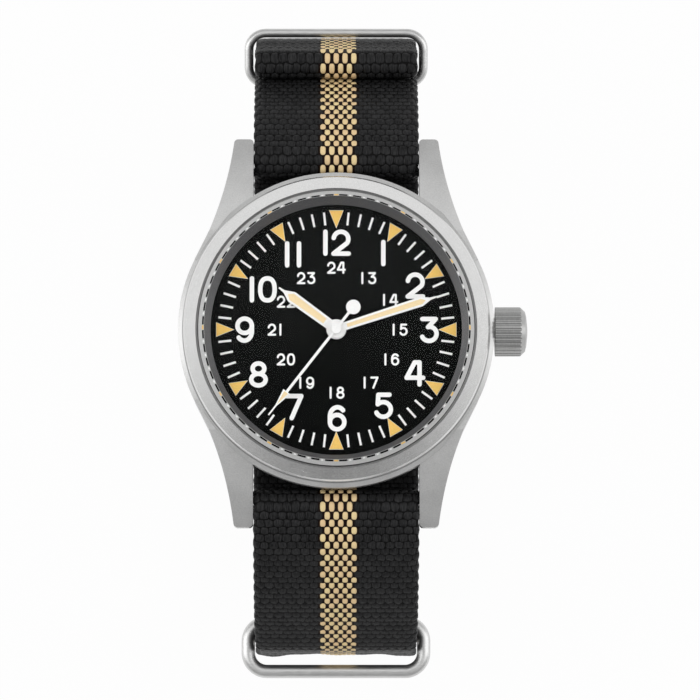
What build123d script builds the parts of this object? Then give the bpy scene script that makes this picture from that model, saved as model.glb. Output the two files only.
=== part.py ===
"""Field watch on a single-pass woven strap, closed as if on a wrist.

+Z points out of the dial, +Y to twelve o'clock, +X to the crown. The origin is the middle of the flat
underside that the wrist touches, below the case. Millimetres.
"""

from build123d import *
import math
import os

os.makedirs("parts", exist_ok=True)

# Fits
run_gap = 0.06
slip_gap = 0.05
cut_over = 0.5

# Strap and its keeper
strap_w = 19.7
strap_t = 1.4
layer_gap = 0.15
head_z = 2 * (strap_t + layer_gap)

# Case middle
case_r = 19.0
case_under_cut = 1.7
case_base_r = case_r - case_under_cut
back_flange_step = 0.2
case_back_flange_r = case_base_r - back_flange_step
case_waist_z = 3.8
case_shoulder_z = 6.0
case_top_z = 6.5
case_top_cut = 0.55
case_top_r = case_r - case_top_cut
case_wall = 3.25
case_bore_r = case_r - case_wall
thread_step = 0.6
thread_r = case_bore_r + thread_step
neck_cut = 1.55
neck_r = case_r - neck_cut
neck_wall = 0.5
neck_bore_r = neck_r - neck_wall
neck_top_z = 7.65
strap_side_gap = 0.15
lug_gap = strap_w + 2 * strap_side_gap
lug_reach = 4.5
lug_tip_y = case_r + lug_reach
lug_tip_w = 2.3
lug_tip_x = lug_gap / 2 + lug_tip_w
lug_flare = 26.5
lug_root_in = 7.0
lug_root_y = case_r - lug_root_in
lug_mid_in = 1.2
lug_mid_y = case_r - lug_mid_in
lug_mid_w = 3.32
lug_mid_x = lug_gap / 2 + lug_mid_w
lug_corner_r = 0.5
lug_top_root_z = 6.25
lug_top_mid_z = 5.05
lug_top_tip_z = 2.5
lug_low_root_z = 0.95
lug_low_in = 2.5
lug_low_mid_y = case_r - lug_low_in
lug_low_tip_z = 0.2

# Screwed back and its gasket
back_flange_t = 0.83
back_plate_t = 1.0
back_spigot_z = 1.88
back_spigot_wall = 1.0
back_edge = 0.3
notch_count = 6
notch_w = 3.0
notch_l = 1.6
notch_depth = 0.4
back_gasket_r = 0.2
back_gasket_out = 0.45
back_gasket_mid_r = thread_r + back_gasket_out

# Dial, chapter ring, crystal and bezel
holder_gap = 0.15
holder_r = case_bore_r - holder_gap
holder_w = 2.8
plate_r = holder_r - holder_w
dial_gap = 0.1
dial_r = case_bore_r - dial_gap
dial_t = 0.4
dial_z = 5.5
dial_hole_r = 1.0
dial_foot_r = 0.25
dial_foot_in = 0.45
dial_foot_at_r = plate_r - dial_foot_in
dial_foot_l = 0.8
dial_foot_angles = (60.0, 240.0)
chapter_overlap = 0.59
chapter_in_r = dial_r - chapter_overlap
chapter_out_gap = 0.45
chapter_out_r = neck_bore_r - chapter_out_gap
chapter_top_w = 0.45
chapter_top_r = chapter_out_r - chapter_top_w
chapter_top_z = 7.05
chapter_foot_gap = 0.05
chapter_foot_h = 0.2
crystal_gasket_t = 0.35
crystal_r = neck_bore_r - crystal_gasket_t
crystal_edge_z = 8.2
crystal_ground_w = 0.5
crystal_dome_r = crystal_r - crystal_ground_w
crystal_dome_z = 8.7
crystal_top_z = 9.55
crystal_wall = 0.7
crystal_inner_r = crystal_r - crystal_wall
crystal_inner_z = 8.15
crystal_gasket_low = 0.05
bezel_inset = 0.65
bezel_r = case_r - bezel_inset
bezel_over = 0.25
bezel_in_r = crystal_r + bezel_over
bezel_top_z = 8.2
bezel_out_z = 8.05
bezel_round = 0.35

# Luminous triangles on the dial
triangle_count = 12
triangle_inset = 1.3
triangle_r = dial_r - triangle_inset
triangle_h = 2.02
triangle_w = 1.63
triangle_t = 0.12

# Hands
hand_t = 0.15
lume_t = 0.08
hour_hand_z = 6.32
minute_hand_z = 6.74
second_hand_z = 7.12
hour_hub_r = 1.2
minute_hub_r = 1.1
hour_short = 7.15
hour_tip = dial_r - hour_short
hour_point_l = 1.9
hour_shoulder = hour_tip - hour_point_l
hour_needle_l = 0.75
hour_neck = hour_tip - hour_needle_l
hour_root_w = 1.2
hour_shoulder_w = 1.41
hour_lume_from = 1.68
minute_short = 3.05
minute_tip = dial_r - minute_short
minute_point_l = 1.9
minute_shoulder = minute_tip - minute_point_l
minute_needle_l = 0.8
minute_neck = minute_tip - minute_needle_l
minute_root_w = 0.93
minute_shoulder_w = 1.15
minute_lume_from = 1.36
needle_w = 0.18
neck_w = 0.3
lume_rim = 0.25
second_short = 2.5
second_tip = dial_r - second_short
second_arrow_l = 3.55
second_arrow_from = second_tip - second_arrow_l
second_needle_l = 1.45
second_arrow_to = second_tip - second_needle_l
second_arrow_w = 1.04
second_w = 0.32
second_disc_at = 3.3
second_disc_r = 0.87
second_boss_r = 0.6
second_boss_h = 0.35
hour_angle = -306.1
minute_angle = -72.1
second_angle = -218.0

# Crown, tube and stem
stem_z = 3.5
crown_gap = 0.1
crown_in_x = case_r + crown_gap
crown_flute_l = 3.0
crown_flute_x = crown_in_x + crown_flute_l
crown_edge_l = 3.6
crown_edge_x = crown_in_x + crown_edge_l
crown_l = 3.88
crown_end_x = crown_in_x + crown_l
crown_r = 2.96
crown_end_r = 2.4
crown_dome_l = 3.75
crown_dome_x = crown_in_x + crown_dome_l
crown_bore_r = 1.75
crown_bore_l = 2.3
crown_bore_x = crown_in_x + crown_bore_l
crown_boss_r = 0.9
crown_boss_in = 1.5
crown_boss_x = crown_in_x + crown_boss_in
crown_thread_l = 2.9
crown_thread_x = crown_in_x + crown_thread_l
flute_count = 32
flute_r = 0.2
tube_out_r = 1.2
tube_bore_r = 0.65
tube_depth = 2.6
tube_in_x = case_r - tube_depth
tube_past = 1.25
tube_end_x = crown_in_x + tube_past
crown_gasket_r = 0.25
crown_gasket_in = 1.1
crown_gasket_x = crown_in_x + crown_gasket_in
crown_pull = 1.0
stem_r = 0.45
stem_groove_r = 0.2
stem_groove_x = 10.0
stem_groove_w = 0.7
stem_square = 0.62
stem_square_from = 6.9
stem_square_to = 9.8
stem_pivot_r = 0.2
stem_end_x = 5.2
clutch_r = 0.95
clutch_from = 7.9
clutch_to = 9.5
clutch_groove_x = 8.55
clutch_groove_w = 0.75
clutch_groove_r = 0.6

# Movement plate, holder and bridge
plate_z = 3.6
plate_top_z = 4.95
rim_w = 0.9
rim_r = plate_r - rim_w
holder_in_gap = 0.1
holder_z = 1.95
stem_way_r = 0.7
bridge_z = 1.75
bridge_t = 0.4
bridge_reach = 1.1
post_r = 0.5
post_places = [(1.9, 4.4), (-7.0, -0.8), (2.6, -2.9)]
screw_r = 0.22
screw_head_r = 0.42
screw_head_t = 0.2
screw_depth = 0.6
bearing_from = 11.0
bearing_w = 3.2
bearing_drop = 1.1
inner_bearing_from = 5.5
inner_bearing_to = 6.6
inner_bearing_w = 1.4

# Train: teeth, modules and levels
wheel_t = 0.15
pinion_t = 0.3
arbor_r = 0.15
pivot_r = 0.1
pivot_gap = 0.03
centre_teeth = 48
third_pinion_teeth = 6
centre_module = 0.13
centre_wheel_z = 3.3
third_teeth = 45
fourth_pinion_teeth = 6
third_wheel_z = 2.85
third_direction = 120.0
fourth_teeth = 36
fifth_pinion_teeth = 6
fourth_module = 0.17
fourth_wheel_z = 2.5
fifth_direction = 215.0
fifth_teeth = 30
rotor_pinion_teeth = 6
fifth_module = 0.12
fifth_wheel_z = 2.25
rotor_direction = 200.0
cannon_teeth = 10
minute_wheel_teeth = 30
minute_pinion_teeth = 8
hour_wheel_teeth = 32
motion_module = 0.14
minute_wheel_z = 5.03
hour_wheel_z = 5.24
minute_wheel_direction = -20.0
setting_teeth = 20
setting_direction = 12.5
setting_z = 4.55
post_pin_r = 0.3
seconds_arbor_r = 0.2
cannon_bore_r = 0.27
cannon_r = 0.5
hour_bore_r = 0.57
hour_tube_r = 0.85
tooth_thick_share = 0.36
tooth_tip_share = 0.16
addendum_share = 0.8
dedendum_share = 1.05
window_share = 0.3
window_at_share = 0.56
window_count = 4
washer_in_r = 0.95
washer_out_r = 1.9
washer_t = 0.05

# Motor, battery and circuit
magnet_r = 0.95
magnet_t = 0.4
stator_z = 2.75
stator_t = 0.4
stator_hole_r = 1.15
stator_limb_w = 3.0
stator_yoke_w = 1.6
coil_x = 0.3
coil_y = -8.5
core_l = 11.4
core_w = 1.2
core_t = 0.6
winding_l = 5.8
winding_r = 1.1
battery_r = 3.4
battery_t = 2.6
battery_z = 1.6
battery_x = -8.65
battery_y = 3.1
battery_step = 0.5
clip_t = 0.2
clip_w = 1.6
clip_post_x = -3.4
clip_post_y = 9.4
clip_post_r = 0.9
board_gap = 0.25
board_x = coil_x + core_l / 2 + board_gap
board_y = -6.2
board_end_x = 10.95
board_l = board_end_x - board_x
board_w = 4.4
board_z = 2.3
board_t = 0.25
chip_w = 1.7
chip_t = 0.5
can_r = 0.75
can_l = 3.9
can_inset = 1.1

# Keyless works
lever_t = 0.3
lever_z = 3.25
lever_pivot_y = 2.6
lever_w = 0.9
lever_nose_w = 0.4
lever_tail = 1.6
lever_pocket_x = 11.6
lever_pocket_y = 0.2
yoke_pivot_x = 6.9
yoke_pivot_y = 3.5
yoke_w = 0.7
yoke_nose_w = 0.3
work_pin_r = 0.28

# Spring bars
bar_out = 2.2
bar_y = case_r + bar_out
bar_z = 1.7
bar_r = 0.9
bar_bore_r = 0.62
bar_end_gap = 1.8
bar_half = lug_gap / 2 - bar_end_gap
bar_crimp = 0.5
bar_crimp_r = 0.46
plunger_r = 0.56
plunger_l = 2.2
plunger_tip_r = 0.4
plunger_tip = 0.95
plunger_travel = 1.0
flange_r = 0.75
flange_t = 0.25
flange_in = 0.4
flange_out = lug_gap / 2 - flange_in
lug_hole_gap = 0.05
lug_hole_l = 1.4
bar_spring_r = 0.38
bar_spring_wire = 0.1
bar_spring_turns = 6

# Strap route, in the plane of the strap's edge as (y, z), wrist side to the left
bar_clear = 0.1
wrap_r = bar_r + bar_clear + strap_t / 2
under_z = strap_t + layer_gap + strap_t / 2
under_turn_r = 1.6
upper_exit = 35.0
lower_exit = 20.0
loop_out = 13.5
loop_y = bar_y + loop_out
loop_z = 46.3
upper_exit_share = 0.758
upper_shares = [(0.893, -0.056), (1.0, -0.238), (0.98, -0.583), (0.764, -0.875), (0.375, -1.0)]
lower_exit_share = 0.726
lower_shares = [(0.908, -0.025), (1.072, -0.222), (1.084, -0.54), (0.879, -0.821), (0.519, -0.948)]
buckle_bend_r = 6.0
flank_bend_r = 12.0
ring_bend_r = 8.0
free_bend_share = 0.45
turn_ease = 0.02

# Buckle, its tongue and the holes
hinge_y = 4.0
frame_r = 0.95
frame_bend_r = 1.7
frame_side_gap = 0.35
buckle_reach = 12.5
buckle_drop = 1.45
tail_turn_r = 5.0
tail_meet = 1.0
tongue_r = 0.6
tongue_eye_r = 1.6
tongue_eye_w = 2.0
tongue_past = 1.7
tongue_swing = 5.0
slot_w = 2.5
slot_back = 3.0
hole_w = 1.9
hole_pitch = 8.0
holes_before = 2
holes_past = 6
hole_r = 0.9

# Rings that keep the strap: wire radius, and the opening across and through the strap
end_wire = 0.825
end_open_more = 0.3
end_open_w = strap_w + end_open_more
end_open_h = 4.4
end_ring_in = 0.575
end_ring_y = loop_y - end_ring_in
end_ring_z = 13.0
upper_wire = 0.55
upper_open_more = 0.8
upper_open_w = strap_w + upper_open_more
upper_open_h = 5.2
upper_ring_along = 23.2
buckle_ring_wire = 0.8
buckle_ring_more = 0.7
buckle_ring_open_w = strap_w + buckle_ring_more
buckle_ring_open_h = 4.4
buckle_ring_at = 4.0
ring_corner_r = 1.5
ring_room = 0.3
ring_swing = 8.0
wire_gap = 0.05

# Hem, keeper's ends and the tail's fold
hem_open_to = 5.8
hem_close_at = 8.8
hem_bend_r = 2.0
hem_end_share = 0.35
keeper_lower_out = 3.3
keeper_lower_y = bar_y + keeper_lower_out
keeper_upper_out = 2.3
keeper_upper_y = bar_y + keeper_upper_out
keeper_bend_r = 5.0
keeper_past = 1.75
keeper_close_at = 5.5
keeper_end_at = 9.0
keeper_hem_l = 8.0
fold_at = 8.7
fold_half = 1.15
fold_r = 1.05
tuck_offset = 3.3
tuck_bend_share = 0.6
tuck_l = 12.0


def disc(r, z0, z1, x=0, y=0):
    """Upright round solid from z0 to z1."""
    return Pos(x, y, (z0 + z1) / 2) * Cylinder(r, z1 - z0)


def rod_x(r, x0, x1, y=0, z=0):
    """Round bar along X."""
    return Pos((x0 + x1) / 2, y, z) * Rot(0, 90, 0) * Cylinder(r, x1 - x0)


def rod_y(r, y0, y1, x=0, z=0):
    """Round bar along Y."""
    return Pos(x, (y0 + y1) / 2, z) * Rot(90, 0, 0) * Cylinder(r, y1 - y0)


def block(x0, x1, y0, y1, z0, z1):
    """Square block between two corners."""
    return Pos((x0 + x1) / 2, (y0 + y1) / 2, (z0 + z1) / 2) * Box(x1 - x0, y1 - y0, z1 - z0)


def turned(points):
    """Solid of revolution about Z from (radius, height) corners."""
    return revolve(Plane.XZ * make_face(Polyline(*points, close=True)), Axis.Z)


def turned_x(points):
    """Solid of revolution about X from (x, radius) corners."""
    return revolve(Plane.XY * make_face(Polyline(*points, close=True)), Axis.X)


def slab(points, z0, z1):
    """Flat piece from an outline in X and Y."""
    return Pos(0, 0, z0) * extrude(make_face(Polyline(*points, close=True)), z1 - z0)


def around(angle, r):
    """Point at an angle in degrees from +X and a distance from the centre."""
    return (r * math.cos(math.radians(angle)), r * math.sin(math.radians(angle)))


def write(name, shape, z=0):
    """Writes one piece, lifted to its place."""
    export_step(Pos(0, 0, z) * shape, "parts/" + name + ".step")


def head(name, shape):
    """Writes one piece of the watch head."""
    write(name, shape, head_z)


# Case, back, bezel and crystal
def flare_points():
    """Where the case's round side runs into the lug's straight flank, and where that turns hollow."""
    touch = around(lug_flare, case_r)
    root = (touch[0] - (lug_root_y - touch[1]) * math.tan(math.radians(lug_flare)), lug_root_y)
    return touch, root


def lug():
    """One lug: its plan outline, cut to its side outline."""
    touch, root = flare_points()
    inner = lug_gap / 2
    tip = (lug_tip_x, lug_tip_y)
    plan = make_face([
        Line((inner, touch[1]), touch),
        Line(touch, root),
        ThreePointArc(root, (lug_mid_x, lug_mid_y), tip),
        Line(tip, (inner, lug_tip_y)),
        Line((inner, lug_tip_y), (inner, touch[1])),
    ])
    solid = extrude(plan, lug_top_root_z)
    tips = solid.edges().filter_by(Axis.Z).group_by(Axis.Y)[-1]
    solid = fillet(tips, lug_corner_r)
    side = make_face([
        Line((touch[1], lug_low_root_z), (touch[1], lug_top_root_z)),
        Line((touch[1], lug_top_root_z), (lug_root_y, lug_top_root_z)),
        ThreePointArc((lug_root_y, lug_top_root_z), (lug_mid_y, lug_top_mid_z), (lug_tip_y, lug_top_tip_z)),
        Line((lug_tip_y, lug_top_tip_z), (lug_tip_y, lug_low_tip_z)),
        Line((lug_tip_y, lug_low_tip_z), (lug_low_mid_y, lug_low_root_z)),
        Line((lug_low_mid_y, lug_low_root_z), (touch[1], lug_low_root_z)),
    ])
    return solid & extrude(Plane.YZ * side, case_r)


def case_middle():
    """Case with four lugs, opened from the back for the movement and from the front for the crystal."""
    ledge = chapter_out_r + slip_gap
    body = turned([
        (0, back_flange_t), (case_base_r, back_flange_t), (case_r, case_waist_z), (case_r, case_shoulder_z),
        (case_top_r, case_top_z), (neck_r, case_top_z), (neck_r, neck_top_z), (0, neck_top_z),
    ])
    quarter = lug()
    for across in (quarter, mirror(quarter, Plane.YZ)):
        body += across
        body += mirror(across, Plane.XZ)
    body -= disc(case_bore_r, -cut_over, case_top_z)
    body -= disc(thread_r, -cut_over, holder_z - slip_gap)
    body -= disc(ledge, dial_z + dial_t + chapter_foot_gap, neck_top_z + cut_over)
    body -= disc(neck_bore_r, chapter_top_z - crystal_gasket_low, neck_top_z + cut_over)
    groove_r = back_gasket_r + slip_gap
    groove = disc(back_gasket_mid_r + groove_r, -cut_over, back_flange_t + 2 * back_gasket_r)
    body -= groove - disc(back_gasket_mid_r - groove_r, -2 * cut_over, case_top_z)
    body -= rod_x(tube_out_r, 0, case_r + cut_over, 0, stem_z)
    hole_end = lug_gap / 2 + lug_hole_l
    for y in (-bar_y, bar_y):
        body -= rod_x(plunger_tip_r + lug_hole_gap, -hole_end, hole_end, y, bar_z)
    return body


def case_back():
    """Screwed back: flange with key notches outside, threaded wall inside."""
    wall_r = thread_r - slip_gap
    body = turned([
        (0, 0), (case_back_flange_r - back_edge, 0), (case_back_flange_r, back_edge),
        (case_back_flange_r, back_flange_t), (wall_r, back_flange_t), (wall_r, back_spigot_z),
        (wall_r - back_spigot_wall, back_spigot_z), (wall_r - back_spigot_wall, back_plate_t), (0, back_plate_t),
    ])
    notch_in = case_back_flange_r - notch_l
    notch = block(notch_in, case_r, -notch_w / 2, notch_w / 2, -cut_over, notch_depth)
    for i in range(notch_count):
        body -= Rot(0, 0, i * 360 / notch_count) * notch
    return body


def chapter_ring():
    """Sloping ring between the dial and the crystal."""
    foot = dial_z + dial_t + chapter_foot_gap
    return turned([
        (chapter_in_r, foot), (chapter_out_r, foot), (chapter_out_r, chapter_top_z),
        (chapter_top_r, chapter_top_z), (chapter_in_r, foot + chapter_foot_h),
    ])


def arc_through(edge, top):
    """Arc in the turning plane from a rim point to the point on the axis, square to the axis there."""
    rise = top - edge[1]
    sphere = (edge[0] ** 2 + rise ** 2) / (2 * rise)
    half = math.asin(edge[0] / sphere) / 2
    middle = (sphere * math.sin(half), top - sphere * (1 - math.cos(half)))
    return ThreePointArc(edge, middle, (0, top))


def crystal():
    """Domed glass with a ground edge, hollow below."""
    face = make_face([
        arc_through((crystal_dome_r, crystal_dome_z), crystal_top_z),
        Line((crystal_dome_r, crystal_dome_z), (crystal_r, crystal_edge_z)),
        Line((crystal_r, crystal_edge_z), (crystal_r, chapter_top_z)),
        Line((crystal_r, chapter_top_z), (crystal_inner_r, chapter_top_z)),
        arc_through((crystal_inner_r, chapter_top_z), crystal_inner_z),
        Line((0, crystal_inner_z), (0, crystal_top_z)),
    ])
    return revolve(Plane.XZ * face, Axis.Z)


def bezel():
    """Flat ring pressed over the case's neck, its lip over the gasket."""
    pocket_r = neck_r + slip_gap / 2
    lip_z = neck_top_z + 2 * slip_gap
    return turned([
        (pocket_r, case_top_z), (bezel_r, case_top_z), (bezel_r, bezel_out_z - bezel_round),
        (bezel_r - bezel_round / 2, bezel_out_z), (bezel_in_r, bezel_top_z), (bezel_in_r, lip_z), (pocket_r, lip_z),
    ])


def dial():
    """Dial plate with its two feet."""
    plate = disc(dial_r, dial_z, dial_z + dial_t) - disc(dial_hole_r, dial_z - cut_over, dial_z + dial_t + cut_over)
    for angle in dial_foot_angles:
        plate += disc(dial_foot_r, dial_z - dial_foot_l, dial_z + dial_t / 2, *around(angle, dial_foot_at_r))
    return plate


def dial_triangles():
    """Twelve luminous triangles, points inward."""
    top = dial_z + dial_t
    one = slab([
        (-triangle_w / 2, triangle_r), (0, triangle_r - triangle_h), (triangle_w / 2, triangle_r),
    ], top, top + triangle_t)
    step = 360 / triangle_count
    return Compound([Rot(0, 0, i * step) * one for i in range(triangle_count)])


# Hands
def baton(tip, shoulder, neck, root_w, shoulder_w):
    """Half outline of a pointed baton, from the hub out along +Y."""
    return [
        (root_w / 2, 0), (shoulder_w / 2, shoulder), (neck_w / 2, neck), (needle_w / 2, tip),
        (-needle_w / 2, tip), (-neck_w / 2, neck), (-shoulder_w / 2, shoulder), (-root_w / 2, 0),
    ]


def lume_points(start, shoulder, neck, root_w, shoulder_w, rim):
    """Outline of the fill inside a baton's rim."""
    wide = shoulder_w / 2 - rim
    return [
        (root_w / 2 - rim, start), (wide, shoulder), (0, (shoulder + neck) / 2), (-wide, shoulder),
        (-root_w / 2 + rim, start),
    ]


def framed_hand(outline, window, hub_r, bore_r, z, angle):
    """Hand with its window, and the fill that sits in it."""
    hand = slab(outline, z, z + hand_t) + disc(hub_r, z, z + hand_t)
    hand -= slab(window, z - cut_over, z + cut_over)
    hand -= disc(bore_r, z - cut_over, z + cut_over)
    fill = slab(window, z + (hand_t - lume_t) / 2, z + (hand_t + lume_t) / 2)
    return Rot(0, 0, angle) * hand, Rot(0, 0, angle) * fill


def hour_hand():
    outline = baton(hour_tip, hour_shoulder, hour_neck, hour_root_w, hour_shoulder_w)
    window = lume_points(hour_lume_from, hour_shoulder, hour_neck, hour_root_w, hour_shoulder_w, lume_rim)
    return framed_hand(outline, window, hour_hub_r, hour_tube_r, hour_hand_z, hour_angle)


def minute_hand():
    outline = baton(minute_tip, minute_shoulder, minute_neck, minute_root_w, minute_shoulder_w)
    window = lume_points(minute_lume_from, minute_shoulder, minute_neck, minute_root_w, minute_shoulder_w, lume_rim)
    return framed_hand(outline, window, minute_hub_r, cannon_r, minute_hand_z, minute_angle)


def second_hand():
    """Needle with a filled arrow, and a disc on its short end."""
    z = second_hand_z
    half = second_w / 2
    wide = second_arrow_w / 2
    hand = slab([(half, 0), (half, second_arrow_from), (-half, second_arrow_from), (-half, 0)], z, z + hand_t)
    arrow = [
        (wide, second_arrow_from), (needle_w / 2, second_arrow_to), (needle_w / 2, second_tip),
        (-needle_w / 2, second_tip), (-needle_w / 2, second_arrow_to), (-wide, second_arrow_from),
    ]
    hand += slab(arrow, z, z + hand_t)
    hand += slab([(half, 0), (half, -second_disc_at), (-half, -second_disc_at), (-half, 0)], z, z + hand_t)
    hand += disc(second_disc_r, z, z + hand_t, 0, -second_disc_at)
    inset = lume_rim / 2
    window = [
        (wide - 2 * inset, second_arrow_from + inset), (0, second_arrow_to - inset),
        (-wide + 2 * inset, second_arrow_from + inset),
    ]
    hand -= slab(window, z - cut_over, z + cut_over)
    hand += disc(second_boss_r, z - hand_t / 2, z + second_boss_h)
    hand -= disc(seconds_arbor_r, z - cut_over, z + hand_t)
    fill = slab(window, z + (hand_t - lume_t) / 2, z + (hand_t + lume_t) / 2)
    return Rot(0, 0, second_angle) * hand, Rot(0, 0, second_angle) * fill


# Train
def mesh_distance(teeth_a, teeth_b, module):
    return (teeth_a + teeth_b) * module / 2


def mesh_phase(direction, phase, teeth, other):
    """Turn of the other wheel that puts its gap on this wheel's tooth, along the line of centres."""
    return direction + 180 - (phase - direction) * teeth / other - 180 / other


def toothed(teeth, module, z0, z1, phase=0):
    """Wheel or pinion with straight-sided teeth."""
    pitch_r = teeth * module / 2
    root, tip = pitch_r - dedendum_share * module, pitch_r + addendum_share * module
    step = 360 / teeth
    points = []
    for i in range(teeth):
        middle = phase + i * step
        for side, r, share in ((-1, root, tooth_thick_share), (-1, tip, tooth_tip_share),
                               (1, tip, tooth_tip_share), (1, root, tooth_thick_share)):
            points.append(around(middle + side * step * share / 2, r))
    return slab(points, z0, z1)


def windowed(wheel, teeth, module, z0):
    """Wheel lightened by round windows."""
    pitch_r = teeth * module / 2
    for i in range(window_count):
        place = around((i + 1 / 2) * 360 / window_count, pitch_r * window_at_share)
        wheel -= disc(pitch_r * window_share, z0 - cut_over, z0 + cut_over, *place)
    return wheel


centre_distance = mesh_distance(centre_teeth, third_pinion_teeth, centre_module)
third_module = 2 * centre_distance / (third_teeth + fourth_pinion_teeth)
third_at = around(third_direction, centre_distance)
fifth_at = around(fifth_direction, mesh_distance(fourth_teeth, fifth_pinion_teeth, fourth_module))
rotor_step = around(rotor_direction, mesh_distance(fifth_teeth, rotor_pinion_teeth, fifth_module))
rotor_at = (fifth_at[0] + rotor_step[0], fifth_at[1] + rotor_step[1])
motion_distance = mesh_distance(cannon_teeth, minute_wheel_teeth, motion_module)
minute_wheel_at = around(minute_wheel_direction, motion_distance)
setting_step = around(setting_direction, mesh_distance(minute_wheel_teeth, setting_teeth, motion_module))
setting_at = (minute_wheel_at[0] + setting_step[0], minute_wheel_at[1] + setting_step[1])
battery_at = (battery_x, battery_y)
bridge_top = bridge_z + bridge_t
pivot_low = bridge_z + pivot_gap
pivot_high = plate_z + bridge_t


def arbor(place, low, high, r=arbor_r):
    """Arbor between bridge and plate with a pivot at each end."""
    return (disc(r, low + pivot_gap, high - pivot_gap, *place)
            + disc(pivot_r, pivot_low, pivot_high, *place))


def fourth_wheel():
    z = fourth_wheel_z
    wheel = toothed(fourth_teeth, fourth_module, z, z + wheel_t)
    wheel += toothed(fourth_pinion_teeth, third_module, z + wheel_t, z + wheel_t + 2 * wheel_t + pinion_t / 2)
    wheel += disc(seconds_arbor_r, bridge_top + pivot_gap, second_hand_z + hand_t)
    return wheel + disc(pivot_r, pivot_low, z)


def third_wheel():
    """Third wheel, driven by the seconds pinion, its own pinion driving the centre wheel."""
    z = third_wheel_z
    phase = mesh_phase(third_direction, 0, fourth_pinion_teeth, third_teeth)
    wheel = toothed(third_teeth, third_module, z, z + wheel_t, phase)
    wheel = windowed(wheel, third_teeth, third_module, z)
    low = centre_wheel_z - wheel_t / 2
    wheel += toothed(third_pinion_teeth, centre_module, low, low + pinion_t - wheel_t / 2)
    return Pos(*third_at) * (wheel + arbor((0, 0), bridge_top, plate_z))


def centre_wheel():
    """Centre wheel with its cannon pinion and the tube that carries the minute hand."""
    z = centre_wheel_z
    phase = mesh_phase(third_direction + 180, 0, third_pinion_teeth, centre_teeth)
    wheel = windowed(toothed(centre_teeth, centre_module, z, z + wheel_t, phase), centre_teeth, centre_module, z)
    low = plate_top_z + pivot_gap
    wheel += toothed(cannon_teeth, motion_module, low, minute_wheel_z + wheel_t)
    wheel += disc(cannon_r, z - wheel_t / 2, minute_hand_z + hand_t)
    return wheel - disc(cannon_bore_r, z - cut_over, minute_hand_z + cut_over)


def fifth_wheel():
    z = fifth_wheel_z
    pinion_phase = mesh_phase(fifth_direction, 0, fourth_teeth, fifth_pinion_teeth)
    wheel = toothed(fifth_teeth, fifth_module, z, z + wheel_t)
    wheel += toothed(fifth_pinion_teeth, fourth_module, z + wheel_t, z + wheel_t + pinion_t, pinion_phase)
    return Pos(*fifth_at) * (wheel + arbor((0, 0), bridge_top, plate_z))


def rotor():
    """Stepping motor's magnet with its pinion."""
    z = fifth_wheel_z
    phase = mesh_phase(rotor_direction, 0, fifth_teeth, rotor_pinion_teeth)
    turning = toothed(rotor_pinion_teeth, fifth_module, z - wheel_t / 4, z + wheel_t + wheel_t / 2, phase)
    turning += disc(magnet_r, stator_z, stator_z + magnet_t)
    return Pos(*rotor_at) * (turning + arbor((0, 0), bridge_top, plate_z))


def minute_wheel():
    """Wheel and pinion that gear the cannon down to the hour wheel."""
    phase = mesh_phase(minute_wheel_direction, 0, cannon_teeth, minute_wheel_teeth)
    wheel = toothed(minute_wheel_teeth, motion_module, minute_wheel_z, minute_wheel_z + wheel_t, phase)
    wheel += toothed(minute_pinion_teeth, motion_module, minute_wheel_z + wheel_t, hour_wheel_z + wheel_t)
    return Pos(*minute_wheel_at) * (wheel - disc(post_pin_r + run_gap, 0, minute_hand_z))


def hour_wheel():
    """Hour wheel with the tube that carries the hour hand."""
    z = hour_wheel_z
    phase = mesh_phase(minute_wheel_direction + 180, 0, minute_pinion_teeth, hour_wheel_teeth)
    wheel = toothed(hour_wheel_teeth, motion_module, z, z + wheel_t, phase)
    wheel += disc(hour_tube_r, z, hour_hand_z + hand_t)
    return wheel - disc(hour_bore_r, z - cut_over, hour_hand_z + cut_over)


def setting_wheel():
    """Wheel between the keyless works and the minute wheel."""
    carried = mesh_phase(minute_wheel_direction, 0, cannon_teeth, minute_wheel_teeth)
    phase = mesh_phase(setting_direction, carried, minute_wheel_teeth, setting_teeth)
    wheel = toothed(setting_teeth, motion_module, setting_z, minute_wheel_z + wheel_t, phase)
    return Pos(*setting_at) * (wheel - disc(post_pin_r + run_gap, 0, minute_hand_z))


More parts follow.
